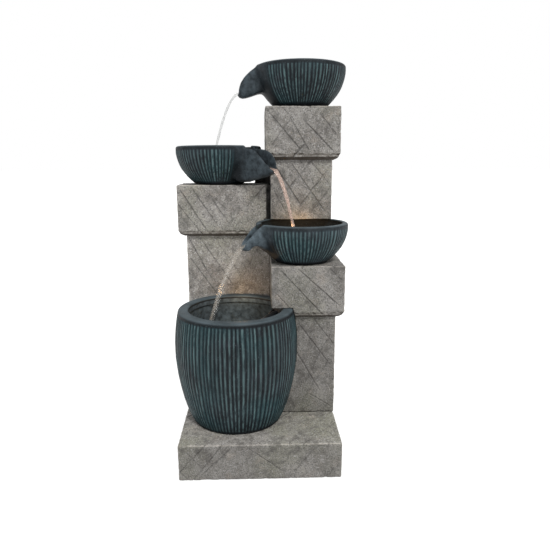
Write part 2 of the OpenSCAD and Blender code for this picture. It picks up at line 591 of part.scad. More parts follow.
module pot_light_housing() color("#202226") translate(pot_light) light_housing();
module pot_light_board() color("#e8e2c8") translate(pot_light) light_board();
module pot_light_lens() color("#ffe2a8") translate(pot_light) light_lens();
module pot_light_sucker() color("#2c2c2e")
    translate([pot_light[0], pot_light[1], pot_light[2] + 15]) rotate([-90, 0, 0]) difference() {
        union() {
            cylinder(h = 19, d = 8, $fn = 32);
            translate([0, 0, 18]) cylinder(h = 4.4, r1 = 4.5, r2 = 11, $fn = 32);
        }
        translate([0, 0, -1]) rotate([90, 0, 0]) translate([0, 0, -20]) cylinder(h = 40, d = light_d + 2, $fn = 48);
    }
module bowl_light_housing() color("#202226") translate(bowl_light) light_housing();
module bowl_light_board() color("#e8e2c8") translate(bowl_light) light_board();
module bowl_light_lens() color("#ffe2a8") translate(bowl_light) light_lens();
module bowl_grommet() color("#141414") translate([low_c[0], low_c[1], bowl_hole_z])
    rotate([0, 0, 90]) rotate([0, 90, 0]) difference() {
        translate([0, 0, 78]) cylinder(h = 20, d = 9, $fn = 32);
        translate([0, 0, 70]) cylinder(h = 40, d = lead_d + 0.4, $fn = 32);
    }

// ---- junction box on the inside of the right column's back wall ------------
jb = [76, 124, 112, 140, 172, 238];
module junction_box() color("#6f7479") difference() {
    slab(jb, jb[4], jb[5]);
    slab([jb[0] + 2.5, jb[1] - 2.5, jb[2] - 1, jb[3] - 2.5], jb[4] + 2.5, jb[5] - 2.5);
}
module junction_lid() color("#7b8086") slab([jb[0], jb[1], jb[2] - 5, jb[2] - 1.5], jb[4], jb[5]);
module junction_gasket() color("#141414") difference() {
    slab([jb[0], jb[1], jb[2] - 1.5, jb[2]], jb[4], jb[5]);
    slab([jb[0] + 2, jb[1] - 2, jb[2] - 3, jb[2] + 1], jb[4] + 2, jb[5] - 2);
}
module junction_screws() color("#b9bcc0")
    for (x = [jb[0] + 6, jb[1] - 6]) for (z = [jb[4] + 6, jb[5] - 6])
        translate([x, jb[2] - 7, z]) rotate([-90, 0, 0]) difference() {
            cylinder(h = 2, d = 6, $fn = 32);
            translate([-2.2, -0.5, -1]) cube([4.4, 1, 2]);
            translate([-0.5, -2.2, -1]) cube([1, 4.4, 2]);
        }
// Low-voltage socket in the back wall, closed by its own flange, nut inside
module power_inlet() color("#1a1b1d") translate([inlet[0], 0, inlet[2]]) rotate([-90, 0, 0]) difference() {
    union() {
        translate([0, 0, 131]) cylinder(h = 30, d = 16, $fn = 48);
        translate([0, 0, 153.5]) cylinder(h = 5, d = 24, $fn = 48);
    }
    translate([0, 0, 150]) cylinder(h = 20, d = 11, $fn = 48);
    for (a = [0 : 180 : 180]) rotate([0, 0, a]) translate([2.2, 0, 145]) cylinder(h = 10, d = 1.8, $fn = 24);
}
module inlet_seal() color("#101010") translate([inlet[0], rcol[3], inlet[2]]) rotate([-90, 0, 0]) difference() {
    cylinder(h = 1.5, d = 23, $fn = 48);
    translate([0, 0, -1]) cylinder(h = 4, d = 16, $fn = 48);
}
module inlet_nut() color("#1a1b1d") translate([inlet[0], rcol[3] - col_wall - 5, inlet[2]]) rotate([-90, 0, 0])
    difference() {
        cylinder(h = 5, d = 25, $fn = 6);
        translate([0, 0, -1]) cylinder(h = 8, d = 16, $fn = 48);
    }

base_plinth();
rubber_feet();
translate([0, 0, rise]) lower_left_column();
translate([0, 0, rise]) left_cap_block();
translate([0, 0, rise]) lower_right_column();
translate([0, 0, rise]) right_mid_block();
translate([0, 0, rise]) upper_right_column();
translate([0, 0, rise]) top_cap_block();
translate([0, 0, rise]) pot_basin();
translate([0, 0, rise]) lower_bowl();
translate([0, 0, rise]) middle_bowl();
translate([0, 0, rise]) top_bowl();
translate([0, 0, rise]) pump_housing();
translate([0, 0, rise]) pump_stator();
translate([0, 0, rise]) pump_back_cover();
translate([0, 0, rise]) pump_volute();
translate([0, 0, rise]) pump_screws();
translate([0, 0, rise]) pump_shaft();
translate([0, 0, rise]) front_bush();
translate([0, 0, rise]) rear_bush();
translate([0, 0, rise]) rotor_magnet();
translate([0, 0, rise]) pump_impeller();
translate([0, 0, rise]) pump_strainer();
translate([0, 0, rise]) flow_dial();
translate([0, 0, rise]) suction_feet();
translate([0, 0, rise]) outlet_adapter();
translate([0, 0, rise]) hose_clamp();
translate([0, 0, rise]) supply_hose();
translate([0, 0, rise]) pot_grommet();
translate([0, 0, rise]) standpipe();
translate([0, 0, rise]) standpipe_seal();
translate([0, 0, rise]) standpipe_nut();
translate([0, 0, rise]) pot_light_housing();
translate([0, 0, rise]) pot_light_board();
translate([0, 0, rise]) pot_light_lens();
translate([0, 0, rise]) pot_light_sucker();
translate([0, 0, rise]) bowl_light_housing();
translate([0, 0, rise]) bowl_light_board();
translate([0, 0, rise]) bowl_light_lens();
translate([0, 0, rise]) bowl_grommet();
translate([0, 0, rise]) junction_box();
translate([0, 0, rise]) junction_lid();
translate([0, 0, rise]) junction_gasket();
translate([0, 0, rise]) junction_screws();
translate([0, 0, rise]) power_inlet();
translate([0, 0, rise]) inlet_nut();
translate([0, 0, rise]) inlet_seal();
translate([0, 0, rise]) pump_lead();
translate([0, 0, rise]) pot_light_lead();
translate([0, 0, rise]) bowl_light_lead();
translate([0, 0, rise]) inlet_lead();
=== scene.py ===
import bpy
import json
import math
import numpy as np
from mathutils import Matrix, Vector
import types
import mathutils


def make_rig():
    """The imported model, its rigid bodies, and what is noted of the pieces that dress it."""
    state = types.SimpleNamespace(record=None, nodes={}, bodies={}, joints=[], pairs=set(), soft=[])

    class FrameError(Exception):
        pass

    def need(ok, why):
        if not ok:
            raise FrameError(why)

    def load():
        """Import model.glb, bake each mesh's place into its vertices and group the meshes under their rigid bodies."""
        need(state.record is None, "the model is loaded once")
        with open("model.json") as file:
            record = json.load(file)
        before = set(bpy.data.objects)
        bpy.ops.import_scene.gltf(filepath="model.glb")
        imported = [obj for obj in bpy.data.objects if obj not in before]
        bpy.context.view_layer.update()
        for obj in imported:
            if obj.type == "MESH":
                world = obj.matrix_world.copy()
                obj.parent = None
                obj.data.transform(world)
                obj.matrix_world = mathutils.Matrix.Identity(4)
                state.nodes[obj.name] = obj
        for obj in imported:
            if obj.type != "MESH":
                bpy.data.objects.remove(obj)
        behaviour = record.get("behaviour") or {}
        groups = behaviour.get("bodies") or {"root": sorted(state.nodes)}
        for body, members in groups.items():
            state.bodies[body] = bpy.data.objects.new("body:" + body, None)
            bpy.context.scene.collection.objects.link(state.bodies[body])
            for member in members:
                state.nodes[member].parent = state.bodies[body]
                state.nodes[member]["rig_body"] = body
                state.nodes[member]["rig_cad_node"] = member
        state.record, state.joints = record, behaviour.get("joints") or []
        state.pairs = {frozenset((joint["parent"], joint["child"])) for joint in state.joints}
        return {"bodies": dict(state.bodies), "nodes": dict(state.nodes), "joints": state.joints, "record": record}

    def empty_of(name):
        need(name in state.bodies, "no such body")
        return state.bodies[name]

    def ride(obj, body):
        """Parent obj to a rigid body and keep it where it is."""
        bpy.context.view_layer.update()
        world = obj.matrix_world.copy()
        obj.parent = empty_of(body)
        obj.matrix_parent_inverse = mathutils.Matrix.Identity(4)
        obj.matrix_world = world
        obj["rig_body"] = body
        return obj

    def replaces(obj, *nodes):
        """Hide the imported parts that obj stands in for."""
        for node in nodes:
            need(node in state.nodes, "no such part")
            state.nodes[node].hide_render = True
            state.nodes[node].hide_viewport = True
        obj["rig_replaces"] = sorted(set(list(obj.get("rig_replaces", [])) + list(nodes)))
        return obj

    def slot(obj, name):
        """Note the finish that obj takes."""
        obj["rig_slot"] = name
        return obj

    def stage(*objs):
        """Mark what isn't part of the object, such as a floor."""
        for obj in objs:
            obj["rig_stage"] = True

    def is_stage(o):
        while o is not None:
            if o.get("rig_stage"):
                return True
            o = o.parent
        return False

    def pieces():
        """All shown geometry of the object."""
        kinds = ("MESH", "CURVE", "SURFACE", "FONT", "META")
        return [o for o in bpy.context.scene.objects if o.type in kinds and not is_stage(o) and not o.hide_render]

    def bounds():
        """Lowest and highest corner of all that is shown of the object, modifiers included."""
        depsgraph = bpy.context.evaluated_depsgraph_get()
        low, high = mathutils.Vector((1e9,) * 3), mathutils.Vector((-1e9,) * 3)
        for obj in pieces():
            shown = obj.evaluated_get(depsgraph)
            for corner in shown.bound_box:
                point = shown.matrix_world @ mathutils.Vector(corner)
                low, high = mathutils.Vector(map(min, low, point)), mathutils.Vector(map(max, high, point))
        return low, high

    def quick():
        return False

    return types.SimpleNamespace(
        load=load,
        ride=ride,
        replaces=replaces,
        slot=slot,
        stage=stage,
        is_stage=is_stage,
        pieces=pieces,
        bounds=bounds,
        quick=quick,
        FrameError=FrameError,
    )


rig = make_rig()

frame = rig.load()
CAD_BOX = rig.bounds()
NODES = frame["nodes"]
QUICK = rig.quick()
scene = bpy.context.scene

# ---------------------------------------------------------------------------
# camera
# ---------------------------------------------------------------------------
yaw, pitch, roll = math.radians(1.808), math.radians(12.07), math.radians(-0.18)
fwd = Vector((math.sin(yaw) * math.cos(pitch), math.cos(yaw) * math.cos(pitch), -math.sin(pitch)))
right = Vector((math.cos(yaw), -math.sin(yaw), 0.0))
up = right.cross(fwd)
r2 = right * math.cos(roll) + up * math.sin(roll)
u2 = -right * math.sin(roll) + up * math.cos(roll)
cam_data = bpy.data.cameras.new("camera")
cam_data.sensor_width = 36.0
cam_data.lens = 525.88 / 550.0 * 36.0
cam_data.clip_start, cam_data.clip_end = 0.02, 60.0
cam = bpy.data.objects.new("camera", cam_data)
scene.collection.objects.link(cam)
m = Matrix.Identity(4)
for i in range(3):
    m[i][0], m[i][1], m[i][2] = r2[i], u2[i], -fwd[i]
m[0][3], m[1][3], m[2][3] = -0.00382, -1.13636, 0.61838
cam.matrix_world = m
scene.camera = cam

# ---------------------------------------------------------------------------
# noise, distance fields and meshing, all in millimetres
# ---------------------------------------------------------------------------
LAT = (np.random.RandomState(11).rand(64, 64, 64) * 2 - 1).astype(np.float32)


def vnoise(p):
    f = np.floor(p)
    t = (p - f).astype(np.float32)
    i = f.astype(np.int64)
    t = t * t * t * (t * (t * 6 - 15) + 10)
    x0, y0, z0 = i[:, 0] & 63, i[:, 1] & 63, i[:, 2] & 63
    x1, y1, z1 = (x0 + 1) & 63, (y0 + 1) & 63, (z0 + 1) & 63
    tx, ty, tz = t[:, 0], t[:, 1], t[:, 2]
    a = LAT[x0, y0, z0] * (1 - tx) + LAT[x1, y0, z0] * tx
    b = LAT[x0, y1, z0] * (1 - tx) + LAT[x1, y1, z0] * tx
    c = LAT[x0, y0, z1] * (1 - tx) + LAT[x1, y0, z1] * tx
    d = LAT[x0, y1, z1] * (1 - tx) + LAT[x1, y1, z1] * tx
    return (a * (1 - ty) + b * ty) * (1 - tz) + (c * (1 - ty) + d * ty) * tz


def fbm(p, size, octaves=3, off=0.0):
    s, amp, total = 0.0, 1.0, 0.0
    q = p / size + off
    for _ in range(octaves):
        s = s + amp * vnoise(q)
        total += amp
        amp *= 0.5
        q = q * 2.03 + 7.7
    return s / total * 1.5


def smax(a, b, k):
    return np.maximum(a, b) + np.maximum(k - np.abs(a - b), 0) ** 2 / (4 * k)


def smin(a, b, k):
    return -smax(-a, -b, k)


def sstep(a, b, x):
    t = np.clip((x - a) / (b - a), 0, 1)
    return t * t * (3 - 2 * t)


def box_sdf(p, lo, hi, r=0.0):
    c = (np.array(lo) + np.array(hi)) / 2
    b = (np.array(hi) - np.array(lo)) / 2 - r
    q = np.abs(p - c) - b
    return np.linalg.norm(np.maximum(q, 0), axis=1) + np.minimum(q.max(axis=1), 0) - r


def poly_sdf(s, z, poly):
    d = np.full(len(s), 1e18)
    inside = np.zeros(len(s), bool)
    n = len(poly)
    for i in range(n):
        ax, ay = poly[i]
        bx, by = poly[(i + 1) % n]
        ex, ey = bx - ax, by - ay
        wx, wy = s - ax, z - ay
        t = np.clip((wx * ex + wy * ey) / (ex * ex + ey * ey), 0, 1)
        d = np.minimum(d, (wx - ex * t) ** 2 + (wy - ey * t) ** 2)
        c = ((ay > z) != (by > z)) & (s < (bx - ax) * (z - ay) / ((by - ay) if by != ay else 1e-9) + ax)
        inside ^= c
    d = np.sqrt(d)
    return np.where(inside, -d, d)


def surface_nets(F, lo, h):
    S = F < 0
    nx, ny, nz = F.shape
    c = np.zeros((nx - 1, ny - 1, nz - 1), np.int8)
    for a in (0, 1):
        for b in (0, 1):
            for d in (0, 1):
                c += S[a:nx - 1 + a, b:ny - 1 + b, d:nz - 1 + d]
    act = (c > 0) & (c < 8)
    I = np.argwhere(act)
    ids = np.full(act.shape, -1, np.int32)
    ids[act] = np.arange(len(I))
    pos = np.zeros((len(I), 3))
    cnt = np.zeros(len(I))
    for ax in range(3):
        o1, o2 = [q for q in range(3) if q != ax]
        for a in (0, 1):
            for b in (0, 1):
                off = np.zeros(3, int)
                off[o1], off[o2] = a, b
                off2 = off.copy()
                off2[ax] = 1
                P, Q = I + off, I + off2
                f0 = F[P[:, 0], P[:, 1], P[:, 2]]
                f1 = F[Q[:, 0], Q[:, 1], Q[:, 2]]
                mk = (f0 < 0) != (f1 < 0)
                t = f0[mk] / (f0[mk] - f1[mk])
                add = np.tile(off, (mk.sum(), 1)).astype(float)
                add[:, ax] = t
                pos[mk] += add
                cnt[mk] += 1
    verts = np.array(lo) + (I + pos / cnt[:, None]) * h
    quads = []
    for ax in range(3):
        o1, o2 = (ax + 1) % 3, (ax + 2) % 3
        sl0 = [slice(None)] * 3
        sl1 = [slice(None)] * 3
        sl0[ax], sl1[ax] = slice(0, -1), slice(1, None)
        for o in (o1, o2):
            sl0[o] = sl1[o] = slice(1, -1)
        s0, s1 = S[tuple(sl0)], S[tuple(sl1)]
        E = np.argwhere(s0 != s1)
        flip = s0[s0 != s1]
        E[:, o1] += 1
        E[:, o2] += 1

        def cell(a, b):
            q = E.copy()
            q[:, o1] -= a
            q[:, o2] -= b
            return ids[q[:, 0], q[:, 1], q[:, 2]]
        q = np.stack([cell(1, 1), cell(0, 1), cell(0, 0), cell(1, 0)], axis=1)
        q[~flip] = q[~flip][:, ::-1]
        quads.append(q)
    return verts, np.concatenate(quads)


def gradient(fn, v, e):
    g = np.zeros_like(v)
    for ax in range(3):
        d = np.zeros(3)
        d[ax] = e
        g[:, ax] = (fn(v + d) - fn(v - d)) / (2 * e)
    return g


def mesh_field(base, full, lo, hi, h, band):
    """Vertices, quads and normals of the surface full(p) = 0, where full differs from base by less than band."""
    lo = np.array(lo, float) - 2.3 * h
    n = np.ceil((np.array(hi, float) + 2.3 * h - lo) / h).astype(int) + 1
    ax = [lo[i] + np.arange(n[i]) * h for i in range(3)]
    F = np.empty(n, np.float32)
    step = max(1, int(600000 / (n[1] * n[2])))
    for i in range(0, n[0], step):
        X, Y, Z = np.meshgrid(ax[0][i:i + step], ax[1], ax[2], indexing="ij")
        P = np.stack([X.ravel(), Y.ravel(), Z.ravel()], axis=1)
        f = base(P)
        near = np.abs(f) < band + h
        if near.any():
            f[near] = full(P[near])
        F[i:i + step] = f.reshape(X.shape)
    F[F == 0] = 1e-5
    v, q = surface_nets(F, lo, h)
    for it in range(2 if QUICK else 3):
        g = gradient(full, v, 0.35)
        gg = np.maximum((g * g).sum(axis=1), 0.09)
        d = -full(v) / gg
        stepv = g * d[:, None]
        ln = np.linalg.norm(stepv, axis=1)
        stepv *= np.minimum(1, 0.6 * h / np.maximum(ln, 1e-9))[:, None]
        v = v + stepv
    g = gradient(full, v, 0.45)
    nrm = g / np.maximum(np.linalg.norm(g, axis=1), 1e-9)[:, None]
    return v, q, nrm


def make_mesh(name, v, faces, nrm=None, attrs=None, smooth=True):
    """v in millimetres. faces: one array of quads, or a list of face lists."""
    me = bpy.data.meshes.new(name)
    v = (np.asarray(v, float) + [0, 0, RISE]) * 0.001
    if isinstance(faces, np.ndarray):
        n, k = faces.shape
        me.vertices.add(len(v))
        me.vertices.foreach_set("co", v.astype(np.float32).ravel())
        me.loops.add(n * k)
        me.loops.foreach_set("vertex_index", faces.astype(np.int32).ravel())
        me.polygons.add(n)
        me.polygons.foreach_set("loop_start", np.arange(0, n * k, k, dtype=np.int32))
        me.update(calc_edges=True)
    else:
        me.from_pydata([tuple(p) for p in v], [], [list(map(int, f)) for f in faces])
        me.update()
    me.validate()
    me.polygons.foreach_set("use_smooth", [smooth] * len(me.polygons))
    for key, val in (attrs or {}).items():
        a = me.attributes.new(key, "FLOAT", "POINT")
        a.data.foreach_set("value", np.asarray(val, np.float32))
    if nrm is not None and len(me.vertices) == len(nrm):
        me.normals_split_custom_set_from_vertices(np.asarray(nrm, np.float32).tolist())
    ob = bpy.data.objects.new(name, me)
    scene.collection.objects.link(ob)
    return ob


# ---------------------------------------------------------------------------
# the design's numbers, as in the CAD
# ---------------------------------------------------------------------------
BASE_TOP, LEFT_TOP, MID_TOP, CAP_TOP = 73.0, 566.0, 405.0, 731.0
PLATE = 12.0
LIP_H = 10.0
RISE = 5.0
POT_C = np.array([-53.0, -63.5, 73.0])
LOW_C = np.array([89.2, -14.0, 405.0])
MID_C = np.array([-92.5, 100.0, 566.0])
TOP_C = np.array([92.5, 87.0, 731.0])
POT_R, POT_H, BOWL_H = 129.0, 242.0, 84.0
POT_P = [[0, .735], [.02, .752], [.07, .796], [.143, .849], [.215, .888], [.286, .919],
         [.36, .947], [.43, .97], [.5, .985], [.573, .9985], [.64, 1], [.716, 1],
         [.79, .992], [.86, .979], [.93, .96], [1, .935]]
BOWL_P = [[0, .56], [.04, .60], [.1, .662], [.2, .747], [.3, .82], [.4, .878], [.5, .922],
          [.6, .956], [.7, .981], [.8, .997], [.88, 1], [.96, .9975], [1, .985]]
TOP_LINE = [[66, 62], [74, 82], [84, 89], [93, 88], [101, 85.3], [108, 80.6], [115, 75],
            [121.5, 68.2], [127, 61.8], [131.5, 55.2], [135, 49], [137.4, 43], [138.4, 37]]
TOP_SPOUT = (TOP_LINE, TOP_LINE,
             [[138.6, 31.6], [137, 26.4], [133, 21.4], [127, 19.6], [120, 20.4], [112, 22.8],
              [103, 26], [94, 29.4], [84, 31.4], [74, 30], [66, 34]],
             [[40, 47], [72, 46], [86, 43.6], [98, 40.4], [110, 35.4], [122, 30.6], [132, 28.4], [150, 27.4]])
MID_SPOUT = ([[66, 58], [74, 76], [84, 80], [93, 80], [101, 79.6], [108, 79], [115, 77],
              [121.5, 73], [127, 67], [131.5, 59], [135, 48], [136.8, 39]],
             [[66, 58], [74, 76], [84, 82], [93, 81.5], [101, 80], [108, 76.5], [115, 67],
              [121.5, 56.5], [127, 48], [131.5, 42.5], [135, 38.5], [136.8, 35.5]],
             [[137, 31], [135.6, 27], [132, 23.4], [127, 20], [120, 17], [112, 14],
              [103, 10.6], [94, 7.4], [84, 5], [74, 8], [66, 16]],
             [[40, 47], [72, 46], [86, 44], [98, 42], [110, 39], [122, 34.5], [132, 30.5], [150, 29.5]])
LOW_SPOUT = ([[66, 60], [74, 80], [84, 84], [93, 83.4], [101, 82], [108, 77], [115, 70],
              [121.5, 62], [127, 56.4], [131.5, 51], [135, 45.4], [136.8, 41]],
             [[66, 60], [74, 80], [84, 84], [93, 83.4], [101, 82], [108, 77.6], [115, 71],
              [121.5, 62.6], [127, 56], [131.5, 49.5], [135, 44], [136.8, 40]],
             [[137, 36], [135.6, 33], [132, 30.8], [127, 30], [122, 31.2], [117, 36], [112, 39.6],
              [106, 39.4], [99, 36], [92, 31], [84, 26], [74, 24], [66, 26]],
             [[40, 50], [72, 50], [86, 50], [98, 49.5], [106, 48.6], [114, 46], [122, 41.5], [128, 38.4],
              [134, 36.8], [150, 36]])
PLAN = [[60, 30], [76, 28], [84, 24.5], [92, 20.6], [100, 18.2], [110, 16.6], [122, 15.6],
        [130, 14.4], [134.6, 12.4], [137.4, 9], [138.8, 4], [140.4, -3]]
CHANNEL_PLAN = [[40, 22.5], [70, 21.6], [84, 18], [92, 14.8], [100, 12.6], [110, 11.2], [122, 10.2],
                [132, 9.6], [150, 9.2]]


def stretched(s, k):
    return s if s <= 90 else 90 + (s - 90) * k


def table(points, r, h, blur=7):
    """Smooth radius against height, on a table."""
    z = np.linspace(-20, h + 20, 561)
    pz = np.array([q[0] * h for q in points])
    pr = np.array([q[1] * r for q in points])
    s0 = (pr[1] - pr[0]) / (pz[1] - pz[0])
    s1 = (pr[-1] - pr[-2]) / (pz[-1] - pz[-2])
    R = np.interp(z, pz, pr)
    R = np.where(z < pz[0], pr[0] + (z - pz[0]) * s0, R)
    R = np.where(z > pz[-1], pr[-1] + (z - pz[-1]) * s1, R)
    kern = np.exp(-np.linspace(-2.2, 2.2, blur * 2 + 1) ** 2)
    kern /= kern.sum()
    Rb = np.convolve(np.pad(R, blur, mode="edge"), kern, mode="valid")
    return z, np.minimum(Rb, R + 0.15), np.gradient(Rb, z)


class Vessel:
    def __init__(self, centre, points, r, h, wall, floor_t, lip_r, ribs, seed,
                 turn=None, k=1.0, wide=1.0, bare=24.0, depth=1.0, lines=None):
        self.c, self.r, self.h = centre, r, h
        self.tz, self.tr, self.td = table(points, r, h)
        self.wall, self.floor_t, self.lip_r = wall, floor_t, lip_r
        rs = np.random.RandomState(seed)
        w = 1 + 0.26 * (rs.rand(ribs) - 0.5) * 2
        b = np.concatenate([[0], np.cumsum(w)])
        self.bounds = b / b[-1] * 2 * np.pi - np.pi
        self.ribs = ribs
        self.amp = depth * (0.8 + 0.5 * rs.rand(ribs + 1))
        self.tint = rs.rand(ribs + 1)
        self.turn, self.k, self.wide, self.bare = turn, k, wide, bare
        self.plain, self.inner_tone = 0.0, 0.1
        self.seed = seed
        if turn is not None:
            a = math.radians(turn)
            self.ca, self.sa = math.cos(a), math.sin(a)
            left_l, right_l, under, chan = lines
            self.left_side = [(stretched(s, k), z) for s, z in left_l + under]
            self.right_side = [(stretched(s, k), z) for s, z in right_l + under]
            self.same = left_l is right_l
            self.plan = np.array([[stretched(s, k), w * wide] for s, w in PLAN])
            self.chan = np.array([[stretched(s, k), z] for s, z in chan])
            self.cplan = np.array([[stretched(s, k), w * wide] for s, w in CHANNEL_PLAN])
        self.extra = None

    def rib(self, q):
        """Groove depth in mm, height on the rib 0..1 and the rib's own tint."""
        th = np.arctan2(q[:, 1], q[:, 0])
        rad = np.hypot(q[:, 0], q[:, 1])
        wob = 0.006 * vnoise(np.stack([th * 9, q[:, 2] / 55, np.full(len(q), self.seed * 1.7)], axis=1))
        ph = np.interp(th + wob, self.bounds, np.arange(self.ribs + 1))
        i = np.clip(np.floor(ph).astype(int), 0, self.ribs - 1)
        t = np.abs(2 * (ph - i) - 1)
        d = t ** 2.6
        var = 0.8 + 0.45 * vnoise(np.stack([i * 3.1, q[:, 2] / 34, np.full(len(q), 3.3 + self.seed)], axis=1))
        fade = sstep(self.h - 5.5, self.h - 10.5, q[:, 2]) * sstep(1.0, 9.0, q[:, 2])
        if self.turn is not None:
            dth = np.abs((th - math.radians(self.turn) + np.pi) % (2 * np.pi) - np.pi)
            fade = fade * sstep(math.radians(self.bare - 7), math.radians(self.bare + 5), dth)
        out = rad > np.interp(q[:, 2], self.tz, self.tr) - self.wall * 0.5
        fade = fade * out
        return self.amp[i] * d * var * fade, (1 - d) * fade, self.tint[i] * fade

    def spout(self, q):
        s = q[:, 0] * self.ca + q[:, 1] * self.sa
        w = -q[:, 0] * self.sa + q[:, 1] * self.ca
        z = q[:, 2]
        far = (s < 50) | (np.abs(w) > 46)
        f = np.full(len(q), 60.0)
        ch = np.full(len(q), 60.0)
        j = ~far
        if j.any():
            sj, wj, zj = s[j], np.abs(w[j]), z[j]
            a = poly_sdf(sj, zj, self.left_side)
            if not self.same:
                a2 = poly_sdf(sj, zj, self.right_side)
                t = sstep(-7, 7, w[j])
                a = a * t + a2 * (1 - t)
            b = (wj - np.interp(sj, self.plan[:, 0], self.plan[:, 1])) * 0.97
            f[j] = smax(a, b, 11.0)
            c = (wj - np.interp(sj, self.cplan[:, 0], self.cplan[:, 1]))
            e = np.interp(sj, self.chan[:, 0], self.chan[:, 1]) - zj
            cc = smax(c, e, 9.0)
            ch[j] = smax(cc, 58 - sj, 2.0)
        return f, ch

    def value(self, p, ribs=True):
        q = p - self.c
        rad = np.hypot(q[:, 0], q[:, 1])
        z = q[:, 2]
        R = np.interp(z, self.tz, self.tr)
        dR = np.interp(z, self.tz, self.td)
        cosa = 1 / np.sqrt(1 + dR * dR)
        body = rad - R
        if ribs:
            body = body + self.rib(q)[0] + 0.35 * (vnoise(q / 13.0 + self.seed) * 0.5 + 0.5)
        body = body * cosa
        body = smax(body, -z, 2.0)
        body = smax(body, z - self.h, 5.0)
        if self.turn is not None:
            sp, ch = self.spout(q)
            if ribs:
                sp = sp + 0.3 * (vnoise(q / 9.0 + self.seed) * 0.5 + 0.5)
            body = smin(body, sp, 6.0)
            body = np.maximum(body, z - self.h + 0.05)
        zi = np.maximum(z, self.floor_t)
        Ri = np.interp(zi, self.tz, self.tr) - self.wall
        Ri = np.where(z > self.h * 0.5, np.minimum(Ri, self.lip_r + np.maximum(self.h - 14 - z, 0) * 0.9), Ri)
        inner = smax((rad - Ri) * cosa, self.floor_t - z, 12.0)
        f = smax(body, -inner, 4.6)
        if self.turn is not None:
            f = smax(f, -ch, 3.0)
        if self.extra is not None:
            f = self.extra(q, f)
        return f

    def build(self, name, h):
        c = self.c
        reach = self.r + 2
        lo, hi = c - [reach, reach, 1], c + [reach, reach, self.h + 1]
        if self.turn is not None:
            tip = stretched(140, self.k)
            t = c + np.array([self.ca * tip, self.sa * tip, 0])
            lo[:2] = np.minimum(lo[:2], t[:2] - 14)
            hi[:2] = np.maximum(hi[:2], t[:2] + 14)
        v, q, n = mesh_field(lambda p: self.value(p, False), self.value, lo, hi, h, 3.2)
        _, ridge, tint = self.rib(v - c)
        zz = (v[:, 2] - c[2]) / self.h
        up_face = np.clip(n[:, 2], 0, 1)
        plain = np.zeros(len(v))
        if self.turn is not None:
            q0 = v - c
            dth = np.abs((np.arctan2(q0[:, 1], q0[:, 0]) - math.radians(self.turn) + np.pi) % (2 * np.pi) - np.pi)
            away = np.hypot(q0[:, 0], q0[:, 1])
            plain = np.maximum(sstep(math.radians(self.bare + 5), math.radians(self.bare - 7), dth) * sstep(self.r * 0.9, self.r, away) * 0.6,
                               sstep(self.r - 4, self.r + 8, away)) * self.plain
        q0 = v - c
        rad = np.hypot(q0[:, 0], q0[:, 1])
        inside = (rad < np.interp(q0[:, 2], self.tz, self.tr) - self.wall * 0.7) & (q0[:, 2] < self.h - 6)
        plain = np.maximum(plain, inside * self.inner_tone)
        return make_mesh(name, v, q, n, {"ridge": ridge, "tint": tint, "rise": zz, "upward": up_face, "plain": plain})


def polar(c, deg, r, z):
    a = math.radians(deg)
    return np.array([c[0] + r * math.cos(a), c[1] + r * math.sin(a), z])


def pot_extra(q, f):
    a = math.radians(30)
    d = np.array([math.cos(a), math.sin(a), 0])
    t = q @ d
    perp = q - t[:, None] * d - np.array([0, 0, 211.0])
    rho = np.linalg.norm(perp, axis=1)
    hole = np.maximum(rho - 16.0, 70 - t)
    seat1 = np.maximum(np.maximum(rho - 21.0, 92 - t), t - 104.5)
    seat2 = np.maximum(rho - 21.0, 123.6 - t)
    return np.maximum(np.maximum(np.maximum(f, -hole), -seat1), -seat2)


def top_extra(q, f):
    return np.maximum(f, -np.maximum(np.hypot(q[:, 0], q[:, 1]) - 8.0, q[:, 2] - 30))


def low_extra(q, f):
    rho = np.hypot(q[:, 0], q[:, 2] - 56.0)
    return np.maximum(f, -np.maximum(rho - 4.5, 60 - q[:, 1]))


pot = Vessel(POT_C, POT_P, POT_R, POT_H, 22.0, 16.0, 98.5, 92, 3, depth=1.45)
pot.extra = pot_extra
pot.inner_tone = 1.0
low = Vessel(LOW_C, BOWL_P, 99.0, BOWL_H, 12.0, 14.0, 87.0, 78, 5, turn=203, k=1.07, wide=0.97, bare=25, lines=LOW_SPOUT)
low.extra = low_extra
low.plain = 1.0


def mid_extra(q, f):
    # step in the spout's back wall for the top cap block's corner
    return np.maximum(f, -box_sdf(q + MID_C, (12.9, 19.3, 618.0), (80, 80, 731)))


mid = Vessel(MID_C, BOWL_P, 97.0, BOWL_H, 12.0, 14.0, 85.0, 76, 8, turn=-42, k=1.7, wide=0.9, bare=24, lines=MID_SPOUT)
top = Vessel(TOP_C, BOWL_P, 99.0, 89.0, 12.0, 14.0, 87.0, 78, 13, turn=185, k=1.06, wide=1.0, bare=36, lines=TOP_SPOUT)
top.extra = top_extra
mid.extra = mid_extra
mid.plain, top.plain = 0.5, 0.5

hb = 2.4 if QUICK else 1.3
pot_ob = pot.build("ribbed_pot", 3.0 if QUICK else 1.75)
low_ob = low.build("ribbed_lower_bowl", hb)
mid_ob = mid.build("ribbed_middle_bowl", hb)
top_ob = top.build("ribbed_top_bowl", hb)
for ob, node in ((pot_ob, "pot_basin"), (low_ob, "lower_bowl"), (mid_ob, "middle_bowl"), (top_ob, "top_bowl")):
    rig.ride(ob, "root")
    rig.replaces(ob, node)
    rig.slot(ob, "ribbed_resin")

# ---------------------------------------------------------------------------
# stone castings
# ---------------------------------------------------------------------------


def envelope(v, p, gap=0.6):
    """Distance to a vessel's plain outside, grown by the joint."""
    q = p - v.c
    rad = np.hypot(q[:, 0], q[:, 1])
    R = np.interp(q[:, 2], v.tz, v.tr)
    dR = np.interp(q[:, 2], v.tz, v.td)
    return np.maximum(np.maximum((rad - R) / np.sqrt(1 + dR * dR), -q[:, 2]), q[:, 2] - v.h) - gap


